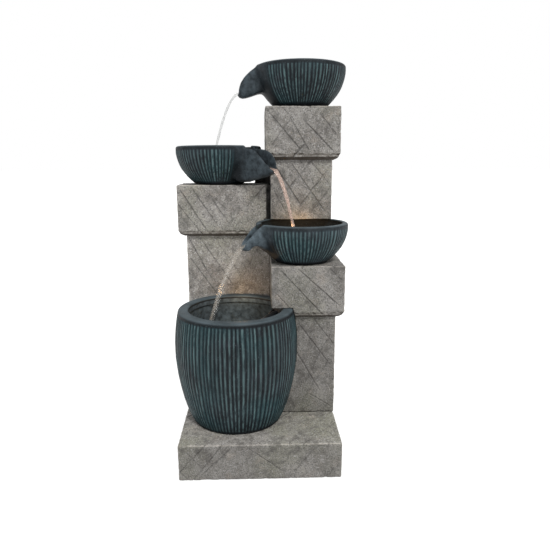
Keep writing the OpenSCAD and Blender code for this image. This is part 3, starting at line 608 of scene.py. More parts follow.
# painted light: how light each casting is drawn on its sides and on its top, a brightness factor standing in for how
# the light falls on it
PAINTED_LIGHT_BY_CASTING = {"plinth": (0.72, 1.30), "lower_left_column": (1.28, 1.28), "left_cap_block": (1.12, 1.3), "lower_right_column": (0.76, 1.0),
        "right_mid_block": (0.86, 1.1), "upper_right_column": (0.98, 1.0), "top_cap_block": (0.97, 1.1)}


class Stone:
    """A hollow casting: outer box with an optional sloped lip, inner boxes and other cuts."""

    def __init__(self, name, lo, hi, lip=None, inner=(), cuts=(), grooves=(), seed=1, solid=None, rnd=2.6, grid=None, wet=None):
        self.name, self.lo, self.hi = name, np.array(lo, float), np.array(hi, float)
        self.lip, self.inner, self.cuts = lip, inner, cuts
        self.grooves, self.seed, self.solid, self.rnd = grooves, seed, solid, rnd
        self.grid = grid or (lo, hi)
        self.wet = wet

    def outer(self, p):
        f = box_sdf(p, self.lo, self.hi, self.rnd)
        if self.solid is not None:
            f = self.solid(p, f)
        if self.lip:
            zf, sides = self.lip
            for ax, s, over in sides:
                face = self.lo[ax] if s < 0 else self.hi[ax]
                dist = (p[:, ax] - face) * s
                o = over - 1.5
                g = (dist + np.clip(zf - p[:, 2], 0, None) / LIP_H * o) / math.sqrt(1 + (o / LIP_H) ** 2)
                g = np.where(p[:, 2] < zf + 14, g - 9.0 * sstep(zf, zf + 13, p[:, 2]), -50.0)
                f = smax(f, g, 7.0)
        return f

    def groove(self, p):
        """Carved lines: depth 0..1 near the face they lie on."""
        out = np.zeros(len(p))
        if not self.grooves:
            return out
        wob = 1.1 * vnoise(p / 16.0 + 3.0 + self.seed)
        for ax, s, segs in self.grooves:
            face = self.lo[ax] if s < 0 else self.hi[ax]
            near = np.abs(p[:, ax] - face) < 6
            if not near.any():
                continue
            a, b = [i for i in range(3) if i != ax]
            u, v = p[near, a] + wob[near], p[near, b] - wob[near]
            g = np.zeros(near.sum())
            for x0, y0, x1, y1, w, dep in segs:
                ex, ey = x1 - x0, y1 - y0
                t = np.clip(((u - x0) * ex + (v - y0) * ey) / (ex * ex + ey * ey), 0, 1)
                d = np.hypot(u - x0 - ex * t, v - y0 - ey * t)
                g = np.maximum(g, dep * np.exp(-(d / w) ** 2) * (0.35 + 0.65 * sstep(0, 0.12, t) * sstep(1, 0.88, t)))
            out[near] = np.maximum(out[near], g)
        return out

    def edge(self, p):
        c, b = (self.lo + self.hi) / 2, (self.hi - self.lo) / 2
        d = np.sort(b - np.abs(p - c), axis=1)
        e = np.exp(-np.clip(d[:, 1], 0, None) / 3.2)
        if self.lip:
            zf, sides = self.lip
            for ax, s, over in sides:
                face = self.lo[ax] if s < 0 else self.hi[ax]
                dd = np.hypot(p[:, ax] - face, p[:, 2] - zf - 2)
                e = np.maximum(e, np.exp(-dd / 4.0))
        return e

    def relief(self, p):
        s = self.seed * 5.3
        return 0.50 * fbm(p, 34.0, 3, s) + 0.42 * fbm(p, 9.0, 2, s + 9) + 0.28 * vnoise(p / 3.6 + s)

    def value(self, p, rough=True):
        f = self.outer(p)
        for lo, hi in self.inner:
            f = np.maximum(f, -box_sdf(p, lo, hi, 0.0))
        if rough:
            r = self.relief(p)
            e = self.edge(p)
            chip = np.clip(vnoise(p / 7.0 + self.seed) - 0.15, 0, 1) * e * 2.6
            f = f + (0.62 - 0.6 * r) + chip + 1.15 * self.groove(p)
        for c in self.cuts:
            f = np.maximum(f, -c(p))
        return f

    def build(self, h):
        v, q, n = mesh_field(lambda p: self.value(p, False), self.value, self.grid[0], self.grid[1], h, 4.4)
        return make_mesh("stone_" + self.name, v, q, n, {
            "groove": self.groove(v), "edge": self.edge(v), "relief": self.relief(v) * 0.5 + 0.5,
            # under: how much a face points down; the stone material paints shade with it under the lips and overhangs
            "under": np.clip(-n[:, 2], 0, 1), "upward": np.clip(n[:, 2], 0, 1),
            # painted light: brightness of each casting, blended from its side factor to its top factor as the face
            # turns up
            "tone": PAINTED_LIGHT_BY_CASTING[self.name][0] + (PAINTED_LIGHT_BY_CASTING[self.name][1] - PAINTED_LIGHT_BY_CASTING[self.name][0]) * np.clip(n[:, 2], 0, 1),
            "wet": np.clip(self.wet(v), 0, 1) if self.wet else np.zeros(len(v))})


def pot_cut(p):
    return envelope(pot, p)


def low_cut(p):
    return envelope(low, p)


def cyl_z(x, y, z0, z1, r):
    return lambda p: np.maximum(np.maximum(np.hypot(p[:, 0] - x, p[:, 1] - y) - r, z0 - p[:, 2]), p[:, 2] - z1)


def cyl_y(x, z, y0, y1, r):
    return lambda p: np.maximum(np.maximum(np.hypot(p[:, 0] - x, p[:, 2] - z) - r, y0 - p[:, 1]), p[:, 1] - y1)


def grommet_cut(p):
    a = math.radians(30)
    d = np.array([math.cos(a), math.sin(a), 0])
    q = p - np.array([POT_C[0], POT_C[1], 284.0])
    t = q @ d
    rho = np.linalg.norm(q - t[:, None] * d, axis=1)
    return np.maximum(np.maximum(rho - 23.0, 110 - t), t - 170)


LCOL, LUP = (-167.5, 23.0, 57.0, 152.0), -0.5
RCOL = (40.0, 159.5, -65.0, 152.0)
UCOL = (23.5, 160.0, 34.0, 152.0)
LBLK = (-184.0, 15.0, 41.0, 167.0)
MBLK = (21.5, 176.0, -79.5, 167.0)
TBLK = (12.5, 175.5, 19.0, 167.0)


def lines(seed, n, u0, u1, v0, v1, a1=50, a2=-50, w=1.25):
    """Carved lines at two slants across a face, some short."""
    rs = np.random.RandomState(seed)
    out = []
    for i in range(n):
        a = math.radians((a1 if rs.rand() < 0.62 else a2) + 9 * (rs.rand() - 0.5))
        u, v = u0 + (u1 - u0) * rs.rand(), v0 + (v1 - v0) * rs.rand()
        L = (0.28 + 0.5 * rs.rand()) * math.hypot(u1 - u0, v1 - v0)
        du, dv = math.cos(a) * L / 2, math.sin(a) * L / 2
        out.append((u - du, v - dv, u + du, v + dv, w * (0.8 + 0.5 * rs.rand()), 0.45 + 0.55 * rs.rand()))
    return out


def faces(seed, lo, hi, n, front=(), skip_top=False):
    """Grooves for the four sides, with the front's listed."""
    g = [(1, -1, list(front) + lines(seed, max(2, n // 3), lo[0], hi[0], lo[2], hi[2], -50, 50)),
         (1, 1, lines(seed + 1, n, lo[0], hi[0], lo[2], hi[2])),
         (0, -1, lines(seed + 2, n, lo[1], hi[1], lo[2], hi[2])),
         (0, 1, lines(seed + 3, n, lo[1], hi[1], lo[2], hi[2]))]
    if not skip_top:
        g.append((2, 1, lines(seed + 4, n, lo[0], hi[0], lo[1], hi[1])))
    return g


def box(b, z0, z1):
    return (b[0], b[2], z0), (b[1], b[3], z1)


stones = []
lo, hi = (-166.5, -198.0, -3.5), (158.5, 167.0, 73.0)
stones.append(Stone("plinth", lo, hi, inner=[((-154.5, -186, -9), (146.5, 155, 61))], seed=1, rnd=3.2,
                    grooves=faces(101, lo, hi, 9, front=[(-120, 8, -60, 66, 1.4, .8), (-30, 66, 40, 14, 1.4, .7),
                                                         (60, 10, 110, 68, 1.3, .8), (-150, 60, -118, 20, 1.2, .6)])))
lo, hi = box(LCOL, 73, 554)
front = [(-162, 446, -118, 360, 1.3, 1.0), (-160, 400, -92, 300, 1.3, .9), (-138, 448, -60, 330, 1.3, .8),
         (-60, 448, -150, 330, 1.2, .5), (0, 430, -70, 300, 1.2, .5), (-100, 440, -40, 352, 1.1, .5)]
stones.append(Stone(
    "lower_left_column", lo, hi, seed=2,
    inner=[((LCOL[0] + 12, LCOL[2] + 14, 72), (LCOL[1] - 12, LCOL[3] - 12, 436)),
           ((LCOL[0] + 12, LCOL[2] + 14, 72), (LUP - 12, LCOL[3] - 12, 542))],
    cuts=[lambda p: box_sdf(p, (LUP, 0, 448), (60, 200, 600)), pot_cut],
    grooves=faces(111, lo, hi, 8, front=front)))
lo, hi = box(LBLK, 448, 566)
front = [(-176, 556, -118, 462, 1.4, 1.0), (-152, 562, -96, 478, 1.3, .9), (-60, 462, -6, 546, 1.2, .6),
         (-110, 540, -62, 470, 1.3, .8), (-2, 556, -78, 470, 1.2, .5), (-130, 562, -70, 508, 1.1, .5)]
stones.append(Stone(
    "left_cap_block", lo, hi, seed=3,
    lip=(458, [(0, -1, 16), (1, -1, 16), (1, 1, 15)]),
    inner=[((LCOL[0] - .5, LCOL[2] - .5, 440), (LUP + .5, LCOL[3] + .5, 554))],
    # web that closes the joint to the right tower and stands a little above the block; painted shade darkens it nearly
    # to black
    solid=lambda p, f: np.minimum(f, np.minimum(box_sdf(p, (13, 60.5, 448.5), (24.6, 166, 565.5), 0.5),
                                                box_sdf(p, (-11.5, 125.5, 560), (24.6, 166, 587.5), 1.0))),
    grid=(lo, (25.0, 167.0, 588.0)),
    # painted shade: the web is darkened nearly to black above z 570 and at its right end, where it meets the right
    # tower
    wet=lambda p: sstep(-16, -8, p[:, 0]) * sstep(562, 570, p[:, 2]) + sstep(12, 18, p[:, 0]) * 0.8,
    cuts=[low_cut], grooves=faces(121, lo, hi, 7, front=front)))
lo, hi = box(RCOL, 73, 393)
front = [(78, 280, 152, 180, 1.4, .9), (60, 240, 130, 120, 1.3, .8), (156, 270, 96, 150, 1.2, .7),
         (110, 290, 156, 230, 1.3, .8), (100, 120, 156, 84, 1.2, .6), (150, 200, 84, 92, 1.2, .6)]
stones.append(Stone(
    "lower_right_column", lo, hi, seed=4,
    inner=[((52, -53, 60), (147.5, 140, 420))],
    cuts=[pot_cut, grommet_cut, cyl_y(120, 120, 130, 160, 8)],
    grooves=faces(131, lo, hi, 8, front=front, skip_top=True)))
lo, hi = box(MBLK, 290, 405)
front = [(40, 398, 128, 302, 1.4, 1.0), (76, 400, 166, 318, 1.4, 1.0), (30, 350, 70, 304, 1.2, .7),
         (120, 398, 70, 330, 1.1, .5), (140, 402, 170, 372, 1.2, .7)]
stones.append(Stone(
    "right_mid_block", lo, hi, seed=5,
    lip=(300, [(0, -1, 14), (0, 1, 15.5), (1, -1, 14.5), (1, 1, 15)]),
    inner=[((39.5, -65.5, 280), (160, 152.5, 393))],
    cuts=[pot_cut, cyl_z(96, 122, 380, 420, 22), lambda p: box_sdf(p, (0, 56.5, 280), (23.5, 200, 420))], grooves=faces(141, lo, hi, 7, front=front)))
lo, hi = box(UCOL, 405, 719)
front = [(30, 612, 92, 520, 1.4, 1.0), (66, 616, 150, 500, 1.4, .9), (150, 600, 84, 512, 1.3, .9),
         (156, 560, 110, 500, 1.3, .8), (28, 560, 60, 500, 1.2, .7), (112, 616, 154, 566, 1.2, .8)]
stones.append(Stone(
    "upper_right_column", lo, hi, seed=6,
    inner=[((35.5, 46, 390), (148, 140, 740))],
    cuts=[low_cut], grooves=faces(151, lo, hi, 8, front=front, skip_top=True)))
lo, hi = box(TBLK, 616, 731)
front = [(22, 716, 92, 636, 1.5, 1.0), (62, 712, 110, 634, 1.4, .9), (96, 700, 160, 636, 1.5, 1.0),
         (14, 728, 40, 690, 1.2, .7), (130, 714, 168, 668, 1.2, .7), (48, 728, 76, 700, 1.2, .6)]
stones.append(Stone(
    "top_cap_block", lo, hi, seed=7,
    lip=(626, [(0, -1, 12.5), (0, 1, 15.5), (1, -1, 15), (1, 1, 15)]),
    inner=[((23, 33.5, 600), (160.5, 152.5, 719))],
    cuts=[cyl_z(92.5, 87, 700, 760, 8)], grooves=faces(161, lo, hi, 7, front=front)))

names = {"plinth": "base_plinth"}
stone_obs = []
for st in stones:
    ob = st.build(3.6 if QUICK else 2.0)
    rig.ride(ob, "root")
    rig.replaces(ob, names.get(st.name, st.name))
    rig.slot(ob, "cast_stone")
    stone_obs.append(ob)

# ---------------------------------------------------------------------------
# materials
# ---------------------------------------------------------------------------


class Mat:
    def __init__(self, name):
        self.m = bpy.data.materials.new(name)
        self.m.use_nodes = True
        self.t = self.m.node_tree
        self.b = self.t.nodes["Principled BSDF"]

    def node(self, kind, **kw):
        n = self.t.nodes.new(kind)
        for k, v in kw.items():
            setattr(n, k, v)
        return n

    def link(self, a, b):
        self.t.links.new(a, b)

    def coord(self, scale=(1, 1, 1)):
        tc = self.node("ShaderNodeTexCoord")
        mp = self.node("ShaderNodeMapping")
        mp.inputs["Scale"].default_value = scale
        self.link(tc.outputs["Object"], mp.inputs["Vector"])
        return mp.outputs[0]

    def noise(self, scale, detail=4, rough=0.55, vec=None, dist=0.0):
        n = self.node("ShaderNodeTexNoise")
        n.inputs["Scale"].default_value = scale
        n.inputs["Detail"].default_value = detail
        n.inputs["Roughness"].default_value = rough
        n.inputs["Distortion"].default_value = dist
        if vec is not None:
            self.link(vec, n.inputs["Vector"])
        return n.outputs["Fac"]

    def ramp(self, fac, stops):
        r = self.node("ShaderNodeValToRGB")
        els = r.color_ramp.elements
        while len(els) > 1:
            els.remove(els[-1])
        els[0].position, els[0].color = stops[0][0], (*stops[0][1], 1)
        for pos, c in stops[1:]:
            e = els.new(pos)
            e.color = (*c, 1)
        self.link(fac, r.inputs["Fac"])
        return r.outputs["Color"]

    def value_ramp(self, fac, a, b, lo=0.0, hi=1.0):
        r = self.node("ShaderNodeMapRange")
        r.inputs["From Min"].default_value = a
        r.inputs["From Max"].default_value = b
        r.inputs["To Min"].default_value = lo
        r.inputs["To Max"].default_value = hi
        self.link(fac, r.inputs["Value"])
        return r.outputs["Result"]

    def math(self, op, a, b=None):
        n = self.node("ShaderNodeMath", operation=op)
        for i, x in enumerate((a, b)):
            if x is None:
                continue
            if isinstance(x, (int, float)):
                n.inputs[i].default_value = x
            else:
                self.link(x, n.inputs[i])
        return n.outputs[0]

    def mix(self, fac, a, b, mode="MIX"):
        n = self.node("ShaderNodeMix", data_type="RGBA", blend_type=mode)
        for sock, x in ((n.inputs["Factor"], fac), (n.inputs[6], a), (n.inputs[7], b)):
            if isinstance(x, (int, float)):
                sock.default_value = x
            elif isinstance(x, tuple):
                sock.default_value = (*x, 1)
            else:
                self.link(x, sock)
        return n.outputs[2]

    def attr(self, name):
        n = self.node("ShaderNodeAttribute", attribute_name=name)
        return n.outputs["Fac"]

    def bump(self, height, strength, distance=0.001, normal=None):
        n = self.node("ShaderNodeBump")
        n.inputs["Strength"].default_value = strength
        n.inputs["Distance"].default_value = distance
        self.link(height, n.inputs["Height"])
        if normal is not None:
            self.link(normal, n.inputs["Normal"])
        return n.outputs["Normal"]

    def set(self, **kw):
        for k, v in kw.items():
            key = k.replace("_", " ")
            sock = self.b.inputs[key]
            if isinstance(v, (int, float)):
                sock.default_value = v
            elif isinstance(v, tuple):
                sock.default_value = (*v, 1) if len(v) == 3 and sock.type == "RGBA" else v
            else:
                self.link(v, sock)
        return self


def stone_material():
    M = Mat("cast_stone")
    v = M.coord()
    big = M.noise(14, 3, 0.55, v)
    mid_n = M.noise(60, 4, 0.6, v)
    grain = M.noise(420, 3, 0.7, v)
    spots = M.noise(340, 2, 0.6, v)
    tone = M.ramp(M.math("ADD", M.math("MULTIPLY", big, 0.55), M.math("MULTIPLY", mid_n, 0.45)), [
        (0.30, (0.150, 0.136, 0.118)), (0.44, (0.235, 0.216, 0.186)),
        (0.54, (0.300, 0.280, 0.245)), (0.70, (0.385, 0.355, 0.300))])
    olive = M.mix(M.value_ramp(M.noise(9, 2, 0.5, M.coord((1, 1, 0.8))), 0.45, 0.68), tone, (0.232, 0.222, 0.168))
    tan = M.mix(M.value_ramp(M.noise(33, 3, 0.6, v), 0.56, 0.72, 0, 0.45), olive, (0.38, 0.325, 0.26))
    dark = M.mix(M.value_ramp(grain, 0.35, 0.52, 0.85, 0.0), tan, (0.050, 0.048, 0.045))
    light = M.mix(M.value_ramp(spots, 0.56, 0.68, 0.0, 0.55), dark, (0.52, 0.50, 0.47))
    low_r = M.mix(M.value_ramp(M.attr("relief"), 0.22, 0.52, 0.6, 0.0), light, (0.085, 0.078, 0.068))
    brushed = M.mix(M.math("MULTIPLY", M.value_ramp(M.attr("edge"), 0.35, 0.95, 0.0, 0.75),
                           M.value_ramp(mid_n, 0.38, 0.55, 0.25, 1.0)), low_r, (0.56, 0.50, 0.42))
    cut = M.mix(M.math("MULTIPLY", M.attr("groove"), 0.62), brushed, (0.042, 0.040, 0.036))
    # painted shade: faces that point down, the undersides of the lips, are darkened to a dark brown
    underside_painted_shade = M.mix(M.value_ramp(M.attr("under"), 0.15, 0.55, 0.0, 0.86), cut, (0.034, 0.024, 0.016))
    # painted shade: the web between the towers is darkened nearly to black
    wet = M.mix(M.math("MULTIPLY", M.attr("wet"), 0.86), underside_painted_shade, (0.016, 0.015, 0.014))
    cool = M.mix(1.0, wet, (0.70, 0.72, 0.775), "MULTIPLY")
    # painted light: the stone colour is scaled by the casting's side and top brightness
    tone = M.node("ShaderNodeVectorMath", operation="SCALE")
    M.link(cool, tone.inputs[0])
    M.link(M.attr("tone"), tone.inputs["Scale"])
    M.set(Base_Color=tone.outputs[0], Roughness=M.value_ramp(mid_n, 0.3, 0.7, 0.92, 0.74))
    M.b.inputs["Specular IOR Level"].default_value = 0.28
    h1 = M.math("ADD", M.math("MULTIPLY", grain, 0.55), M.math("MULTIPLY", spots, 0.6))
    M.set(Normal=M.bump(h1, 0.85, 0.0012))
    return M.m


def vessel_material():
    M = Mat("ribbed_resin")
    v = M.coord()
    streak = M.coord((1, 1, 0.10))
    ridge, tint = M.attr("ridge"), M.attr("tint")
    n1 = M.noise(26, 3, 0.55, v)
    n2 = M.noise(230, 3, 0.6, streak)
    n3 = M.noise(330, 3, 0.65, v)
    body = M.ramp(n1, [(0.34, (0.0050, 0.0066, 0.0088)), (0.50, (0.0072, 0.0112, 0.0142)), (0.68, (0.0125, 0.0190, 0.0236))])
    teal = M.mix(M.value_ramp(M.noise(12, 2, 0.5, v), 0.44, 0.66, 0, 0.8), body, (0.0085, 0.0260, 0.0310))
    violet = M.mix(M.value_ramp(M.noise(17, 2, 0.5, M.coord((1, 1, 1.3))), 0.58, 0.75, 0, 0.55), teal, (0.021, 0.020, 0.029))
    crest = M.math("MULTIPLY", M.value_ramp(ridge, 0.80, 0.99), M.value_ramp(n2, 0.38, 0.56, 0.15, 1.0))
    crest = M.math("MULTIPLY", crest, M.value_ramp(tint, 0.1, 0.9, 0.45, 1.0))
    dry = M.mix(M.math("MULTIPLY", crest, 0.85), violet, (0.075, 0.125, 0.130))
    dry = M.mix(M.value_ramp(ridge, 0.74, 0.2, 0.0, 0.9), dry, (0.0025, 0.0035, 0.0048))
    mottle = M.math("MULTIPLY", M.attr("plain"), M.value_ramp(M.noise(95, 4, 0.6, v), 0.30, 0.66, 0.15, 1.0))
    dry = M.mix(mottle, dry, (0.070, 0.092, 0.108))
    rim = M.value_ramp(M.attr("rise"), 0.955, 0.992, 0, 1)
    rim = M.math("MULTIPLY", rim, M.value_ramp(M.attr("upward"), 0.15, 0.8, 0, 1))
    rimc = M.mix(M.math("MULTIPLY", rim, M.value_ramp(n1, 0.25, 0.6, 0.35, 0.75)), dry, (0.075, 0.098, 0.112))
    speck = M.mix(M.value_ramp(n3, 0.60, 0.74, 0, 0.35), rimc, (0.10, 0.12, 0.13))
    M.set(Base_Color=speck, Roughness=M.value_ramp(n3, 0.3, 0.7, 0.46, 0.64))
    M.b.inputs["Specular IOR Level"].default_value = 0.13
    M.set(Normal=M.bump(M.math("ADD", M.math("MULTIPLY", n3, 0.5), M.math("MULTIPLY", n2, 0.5)), 0.45, 0.0008))
    return M.m


def simple(name, color, rough, metallic=0.0, grain=900, bump=0.25, var=0.25, coat=0.0, brushed=None, spec=0.5):
    """A moulded, rubber or metal finish: colour and gloss vary with fine noise, with a moulded grain."""
    M = Mat(name)
    v = M.coord(brushed or (1, 1, 1))
    a, b = M.noise(grain * 0.12, 3, 0.55, v), M.noise(grain, 2, 0.6, v)
    dark = tuple(c * (1 - var) for c in color)
    lite = tuple(min(1.0, c * (1 + var) + 0.004) for c in color)
    col = M.ramp(M.math("ADD", M.math("MULTIPLY", a, 0.6), M.math("MULTIPLY", b, 0.4)), [(0.35, dark), (0.5, color), (0.66, lite)])
    M.set(Base_Color=col, Roughness=M.value_ramp(a, 0.3, 0.7, max(0.04, rough - 0.08), min(1, rough + 0.08)))
    M.b.inputs["Metallic"].default_value = metallic
    M.b.inputs["Specular IOR Level"].default_value = spec
    if coat:
        M.b.inputs["Coat Weight"].default_value = coat
    M.set(Normal=M.bump(b, bump, 0.0002))
    return M.m


def glow(name, color, strength, base):
    M = Mat(name)
    v = M.coord()
    rings = M.noise(900, 2, 0.5, v)
    M.set(Base_Color=M.mix(M.value_ramp(rings, 0.35, 0.65, 0, 0.4), base, color), Roughness=0.18)
    M.b.inputs["Emission Color"].default_value = (*color, 1)
    M.b.inputs["Emission Strength"].default_value = strength
    M.set(Normal=M.bump(rings, 0.2, 0.0003))
    return M.m


def water_material():
    M = Mat("water_surface")
    v = M.coord()
    M.b.inputs["Base Color"].default_value = (0.90, 0.95, 0.97, 1)
    M.b.inputs["Roughness"].default_value = 0.03
    M.b.inputs["IOR"].default_value = 1.33
    M.b.inputs["Transmission Weight"].default_value = 1.0
    M.set(Normal=M.bump(M.noise(75, 3, 0.5, v), 0.25, 0.0015))
    return M.m


def stream_material(name, tintc, alpha, painted_glow_color=None, painted_glow_strength=0.0):
    M = Mat(name)
    v = M.coord((1, 1, 0.10))
    n = M.noise(420, 3, 0.6, v)
    col = M.mix(M.value_ramp(n, 0.35, 0.62), tuple(c * 0.72 for c in tintc), tintc)
    M.set(Base_Color=col, Roughness=0.12)
    M.b.inputs["IOR"].default_value = 1.33
    M.b.inputs["Transmission Weight"].default_value = 0.35
    M.set(Alpha=M.value_ramp(n, 0.30, 0.66, alpha * 0.45, min(1.0, alpha * 1.35)))
    # painted light: an optional warm emission makes the water glow as if lit by the lamps
    if painted_glow_color:
        M.b.inputs["Emission Color"].default_value = (*painted_glow_color, 1)
        M.b.inputs["Emission Strength"].default_value = painted_glow_strength
    M.set(Normal=M.bump(n, 0.5, 0.001))
    return M.m


STONE = stone_material()
RESIN = vessel_material()
for ob in stone_obs:
    ob.data.materials.append(STONE)
for ob in (pot_ob, low_ob, mid_ob, top_ob):
    ob.data.materials.append(RESIN)

RUBBER = simple("matt_rubber", (0.020, 0.020, 0.021), 0.78, grain=1400, bump=0.35)
PUMP = simple("pump_plastic", (0.019, 0.020, 0.023), 0.48, grain=1800, bump=0.4)
POTTING = simple("coil_potting", (0.050, 0.030, 0.022), 0.30, grain=500, bump=0.15, coat=0.3)
STEEL = simple("steel_fixings", (0.56, 0.57, 0.58), 0.30, metallic=1.0, grain=1500, bump=0.15, var=0.12, brushed=(1, 1, 0.12))
CERAMIC = simple("ceramic_shaft", (0.80, 0.79, 0.75), 0.22, grain=1600, bump=0.08, var=0.06)
FERRITE = simple("ferrite", (0.070, 0.070, 0.076), 0.42, grain=2200, bump=0.25)
PALE = simple("pale_plastic", (0.72, 0.70, 0.63), 0.42, grain=1500, bump=0.2, var=0.10)
DIAL = simple("dial_plastic", (0.48, 0.50, 0.51), 0.40, grain=1800, bump=0.25, var=0.12)
HOSE = simple("hose_rubber", (0.034, 0.036, 0.040), 0.38, grain=700, bump=0.2, brushed=(1, 1, 0.2))
LAMP = simple("lamp_plastic", (0.020, 0.021, 0.025), 0.32, grain=1800, bump=0.25)
BOXP = simple("box_plastic", (0.20, 0.21, 0.22), 0.50, grain=1700, bump=0.4, var=0.14)
LEAD = simple("lead_rubber", (0.014, 0.014, 0.015), 0.52, grain=1200, bump=0.2)
BOARD = glow("lamp_board", (1.0, 0.74, 0.42), 0.6, (0.70, 0.66, 0.50))
LENS = glow("lamp_lens", (1.0, 0.70, 0.36), 2.0, (0.90, 0.80, 0.62))
MATS = {
    "rubber_feet": RUBBER, "pump_housing": PUMP, "pump_stator": POTTING, "pump_back_cover": PUMP, "pump_volute": PUMP,
    "pump_screws": STEEL, "pump_shaft": CERAMIC, "front_bush": RUBBER, "rear_bush": RUBBER, "rotor_magnet": FERRITE,
    "pump_impeller": PALE, "pump_strainer": PUMP, "flow_dial": DIAL, "suction_feet": RUBBER, "outlet_adapter": PUMP,
    "hose_clamp": STEEL, "pot_grommet": RUBBER, "standpipe": STEEL, "standpipe_seal": RUBBER, "standpipe_nut": STEEL,
    "pot_light_housing": LAMP, "pot_light_board": BOARD, "pot_light_lens": LENS, "pot_light_sucker": RUBBER,
    "bowl_light_housing": LAMP, "bowl_light_board": BOARD, "bowl_light_lens": LENS, "bowl_grommet": RUBBER,
    "junction_box": BOXP, "junction_lid": BOXP, "junction_gasket": RUBBER, "junction_screws": STEEL,
    "power_inlet": PUMP, "inlet_nut": PUMP, "inlet_seal": RUBBER,
}
BEVEL = {"pump_housing": .6, "pump_back_cover": .6, "pump_volute": .4, "pump_strainer": .5, "flow_dial": .5,
         "outlet_adapter": .5, "hose_clamp": .3, "standpipe_nut": .5, "junction_box": .8, "junction_lid": .8,
         "power_inlet": .5, "inlet_nut": .4, "pot_light_housing": .5, "bowl_light_housing": .5, "rubber_feet": .4,
         "pot_grommet": .6, "standpipe": .4, "pump_impeller": .25, "rotor_magnet": .3, "pump_screws": .2,
         "junction_screws": .2}
for node, mat in MATS.items():
    ob = NODES[node]
    for i in range(max(1, len(ob.material_slots))):
        if len(ob.material_slots) == 0:
            ob.data.materials.append(mat)
        else:
            ob.material_slots[i].material = mat
    if node in BEVEL:
        bv = ob.modifiers.new("soft_edge", "BEVEL")
        bv.width = BEVEL[node] * 0.001
        bv.segments = 2
        bv.limit_method = "ANGLE"
        bv.angle_limit = math.radians(38)
        bv.harden_normals = False

# ---------------------------------------------------------------------------
# hose and leads: smooth tubes along the CAD's own routes
# ---------------------------------------------------------------------------


def at_hole(r, s, dz):
    a = math.radians(30)
    return [POT_C[0] + r * math.cos(a) - s * math.sin(a), POT_C[1] + r * math.sin(a) + s * math.cos(a), 284 + dz]


ROUTES = {
    "supply_hose": (16.0, [[-40, -75.5, 166], [-40, -75.5, 190], [-37, -72, 225], [-14, -52, 262],
                           at_hole(92, 0, -1), at_hole(116, 0, 0), at_hole(138, 0, 2),
                           [84, 34, 306], [88, 92, 340], [90, 120, 388], [90, 122, 440], [90, 121, 560],
                           [91, 108, 640], [92.5, 88, 682], [92.5, 87, 704]]),
    "pump_lead": (5.0, [[-53, -25, 133], [-53, -14, 133], [-34, -4, 180], [8, -20, 246],
                        at_hole(92, 10.6, 3), at_hole(116, 10.6, 3), at_hole(138, 11, -4),
                        [74, 40, 262], [90, 90, 272], [100, 114, 262], [100, 119, 238]]),
    "pot_light_lead": (5.0, [[-36.9, 20, 214], [-26, 19, 215], [-6, 10, 228], [16, -4, 256],
                             at_hole(92, 10.6, -4), at_hole(116, 10.6, -4), at_hole(138, 12, -12),
                             [68, 50, 250], [78, 100, 262], [87, 121, 256], [88, 124, 238]]),
    "bowl_light_lead": (5.0, [[89.2, 24.1, 433], [89.2, 34, 434], [89.2, 58, 457],
                              [89.2, 78, 461], [89.2, 92, 461], [100, 108, 440], [108, 124, 400], [110, 123, 320],
                              [112, 121, 270], [112, 122, 238]]),
    "inlet_lead": (5.0, [[110, 127, 172], [112, 127, 150], [120, 126, 134], [120, 131, 120]]),
}


def cr(p0, p1, p2, p3, t):
    return 0.5 * ((2 * p1) + (p2 - p0) * t + (2 * p0 - 5 * p1 + 4 * p2 - p3) * t * t + (3 * p1 - p0 - 3 * p2 + p3) * t ** 3)


def smooth_path(pts, n):
    P = [np.array(p, float) for p in pts]
    out = []
    for i in range(len(P) - 1):
        for j in range(n):
            out.append(cr(P[max(i - 1, 0)], P[i], P[i + 1], P[min(i + 2, len(P) - 1)], j / n))
    out.append(P[-1])
    return np.array(out)


def sweep(name, path, radii, sides=24, flat=None, ref=(0.31, 0.92, 0.24), caps=True):
    """A closed tube along path, with a radius per ring; flat gives a second radius."""
    n = len(path)
    t = np.gradient(path, axis=0)
    t /= np.linalg.norm(t, axis=1)[:, None]
    nv = np.array(ref, float)
    rings = []
    for i in range(n):
        nv = nv - (nv @ t[i]) * t[i]
        nv /= np.linalg.norm(nv)
        bv = np.cross(t[i], nv)
        a = np.linspace(0, 2 * np.pi, sides, endpoint=False)
        ra = radii[i]
        rb = ra if flat is None else flat[i]
        rings.append(path[i] + np.outer(np.cos(a) * ra, nv) + np.outer(np.sin(a) * rb, bv))
    v = np.concatenate(rings)
    fs = []
    for i in range(n - 1):
        for k in range(sides):
            fs.append((i * sides + k, (i + 1) * sides + k, (i + 1) * sides + (k + 1) % sides, i * sides + (k + 1) % sides)[::-1])
    if caps:
        fs.append(tuple(range(sides)))
        fs.append(tuple((n - 1) * sides + k for k in range(sides - 1, -1, -1)))
    ob = make_mesh(name, v, fs)
    return ob


for node, (d, pts) in ROUTES.items():
    path = smooth_path(pts, 10)
    arc = np.concatenate([[0], np.cumsum(np.linalg.norm(np.diff(path, axis=0), axis=1))])
    rad = np.full(len(path), d / 2 - 0.05)
    if node == "supply_hose":
        rad = d / 2 - 0.35 + 0.3 * np.abs(np.cos(arc * 0.9))  # ribbed vinyl
    ob = sweep("smooth_" + node, path, rad, 28 if d > 10 else 16)
    ob.data.materials.append(HOSE if d > 10 else LEAD)
    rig.ride(ob, "root")
    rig.replaces(ob, node)
    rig.slot(ob, "hose_rubber" if d > 10 else "lead_rubber")

# ---------------------------------------------------------------------------
# water
# ---------------------------------------------------------------------------
WATER = water_material()


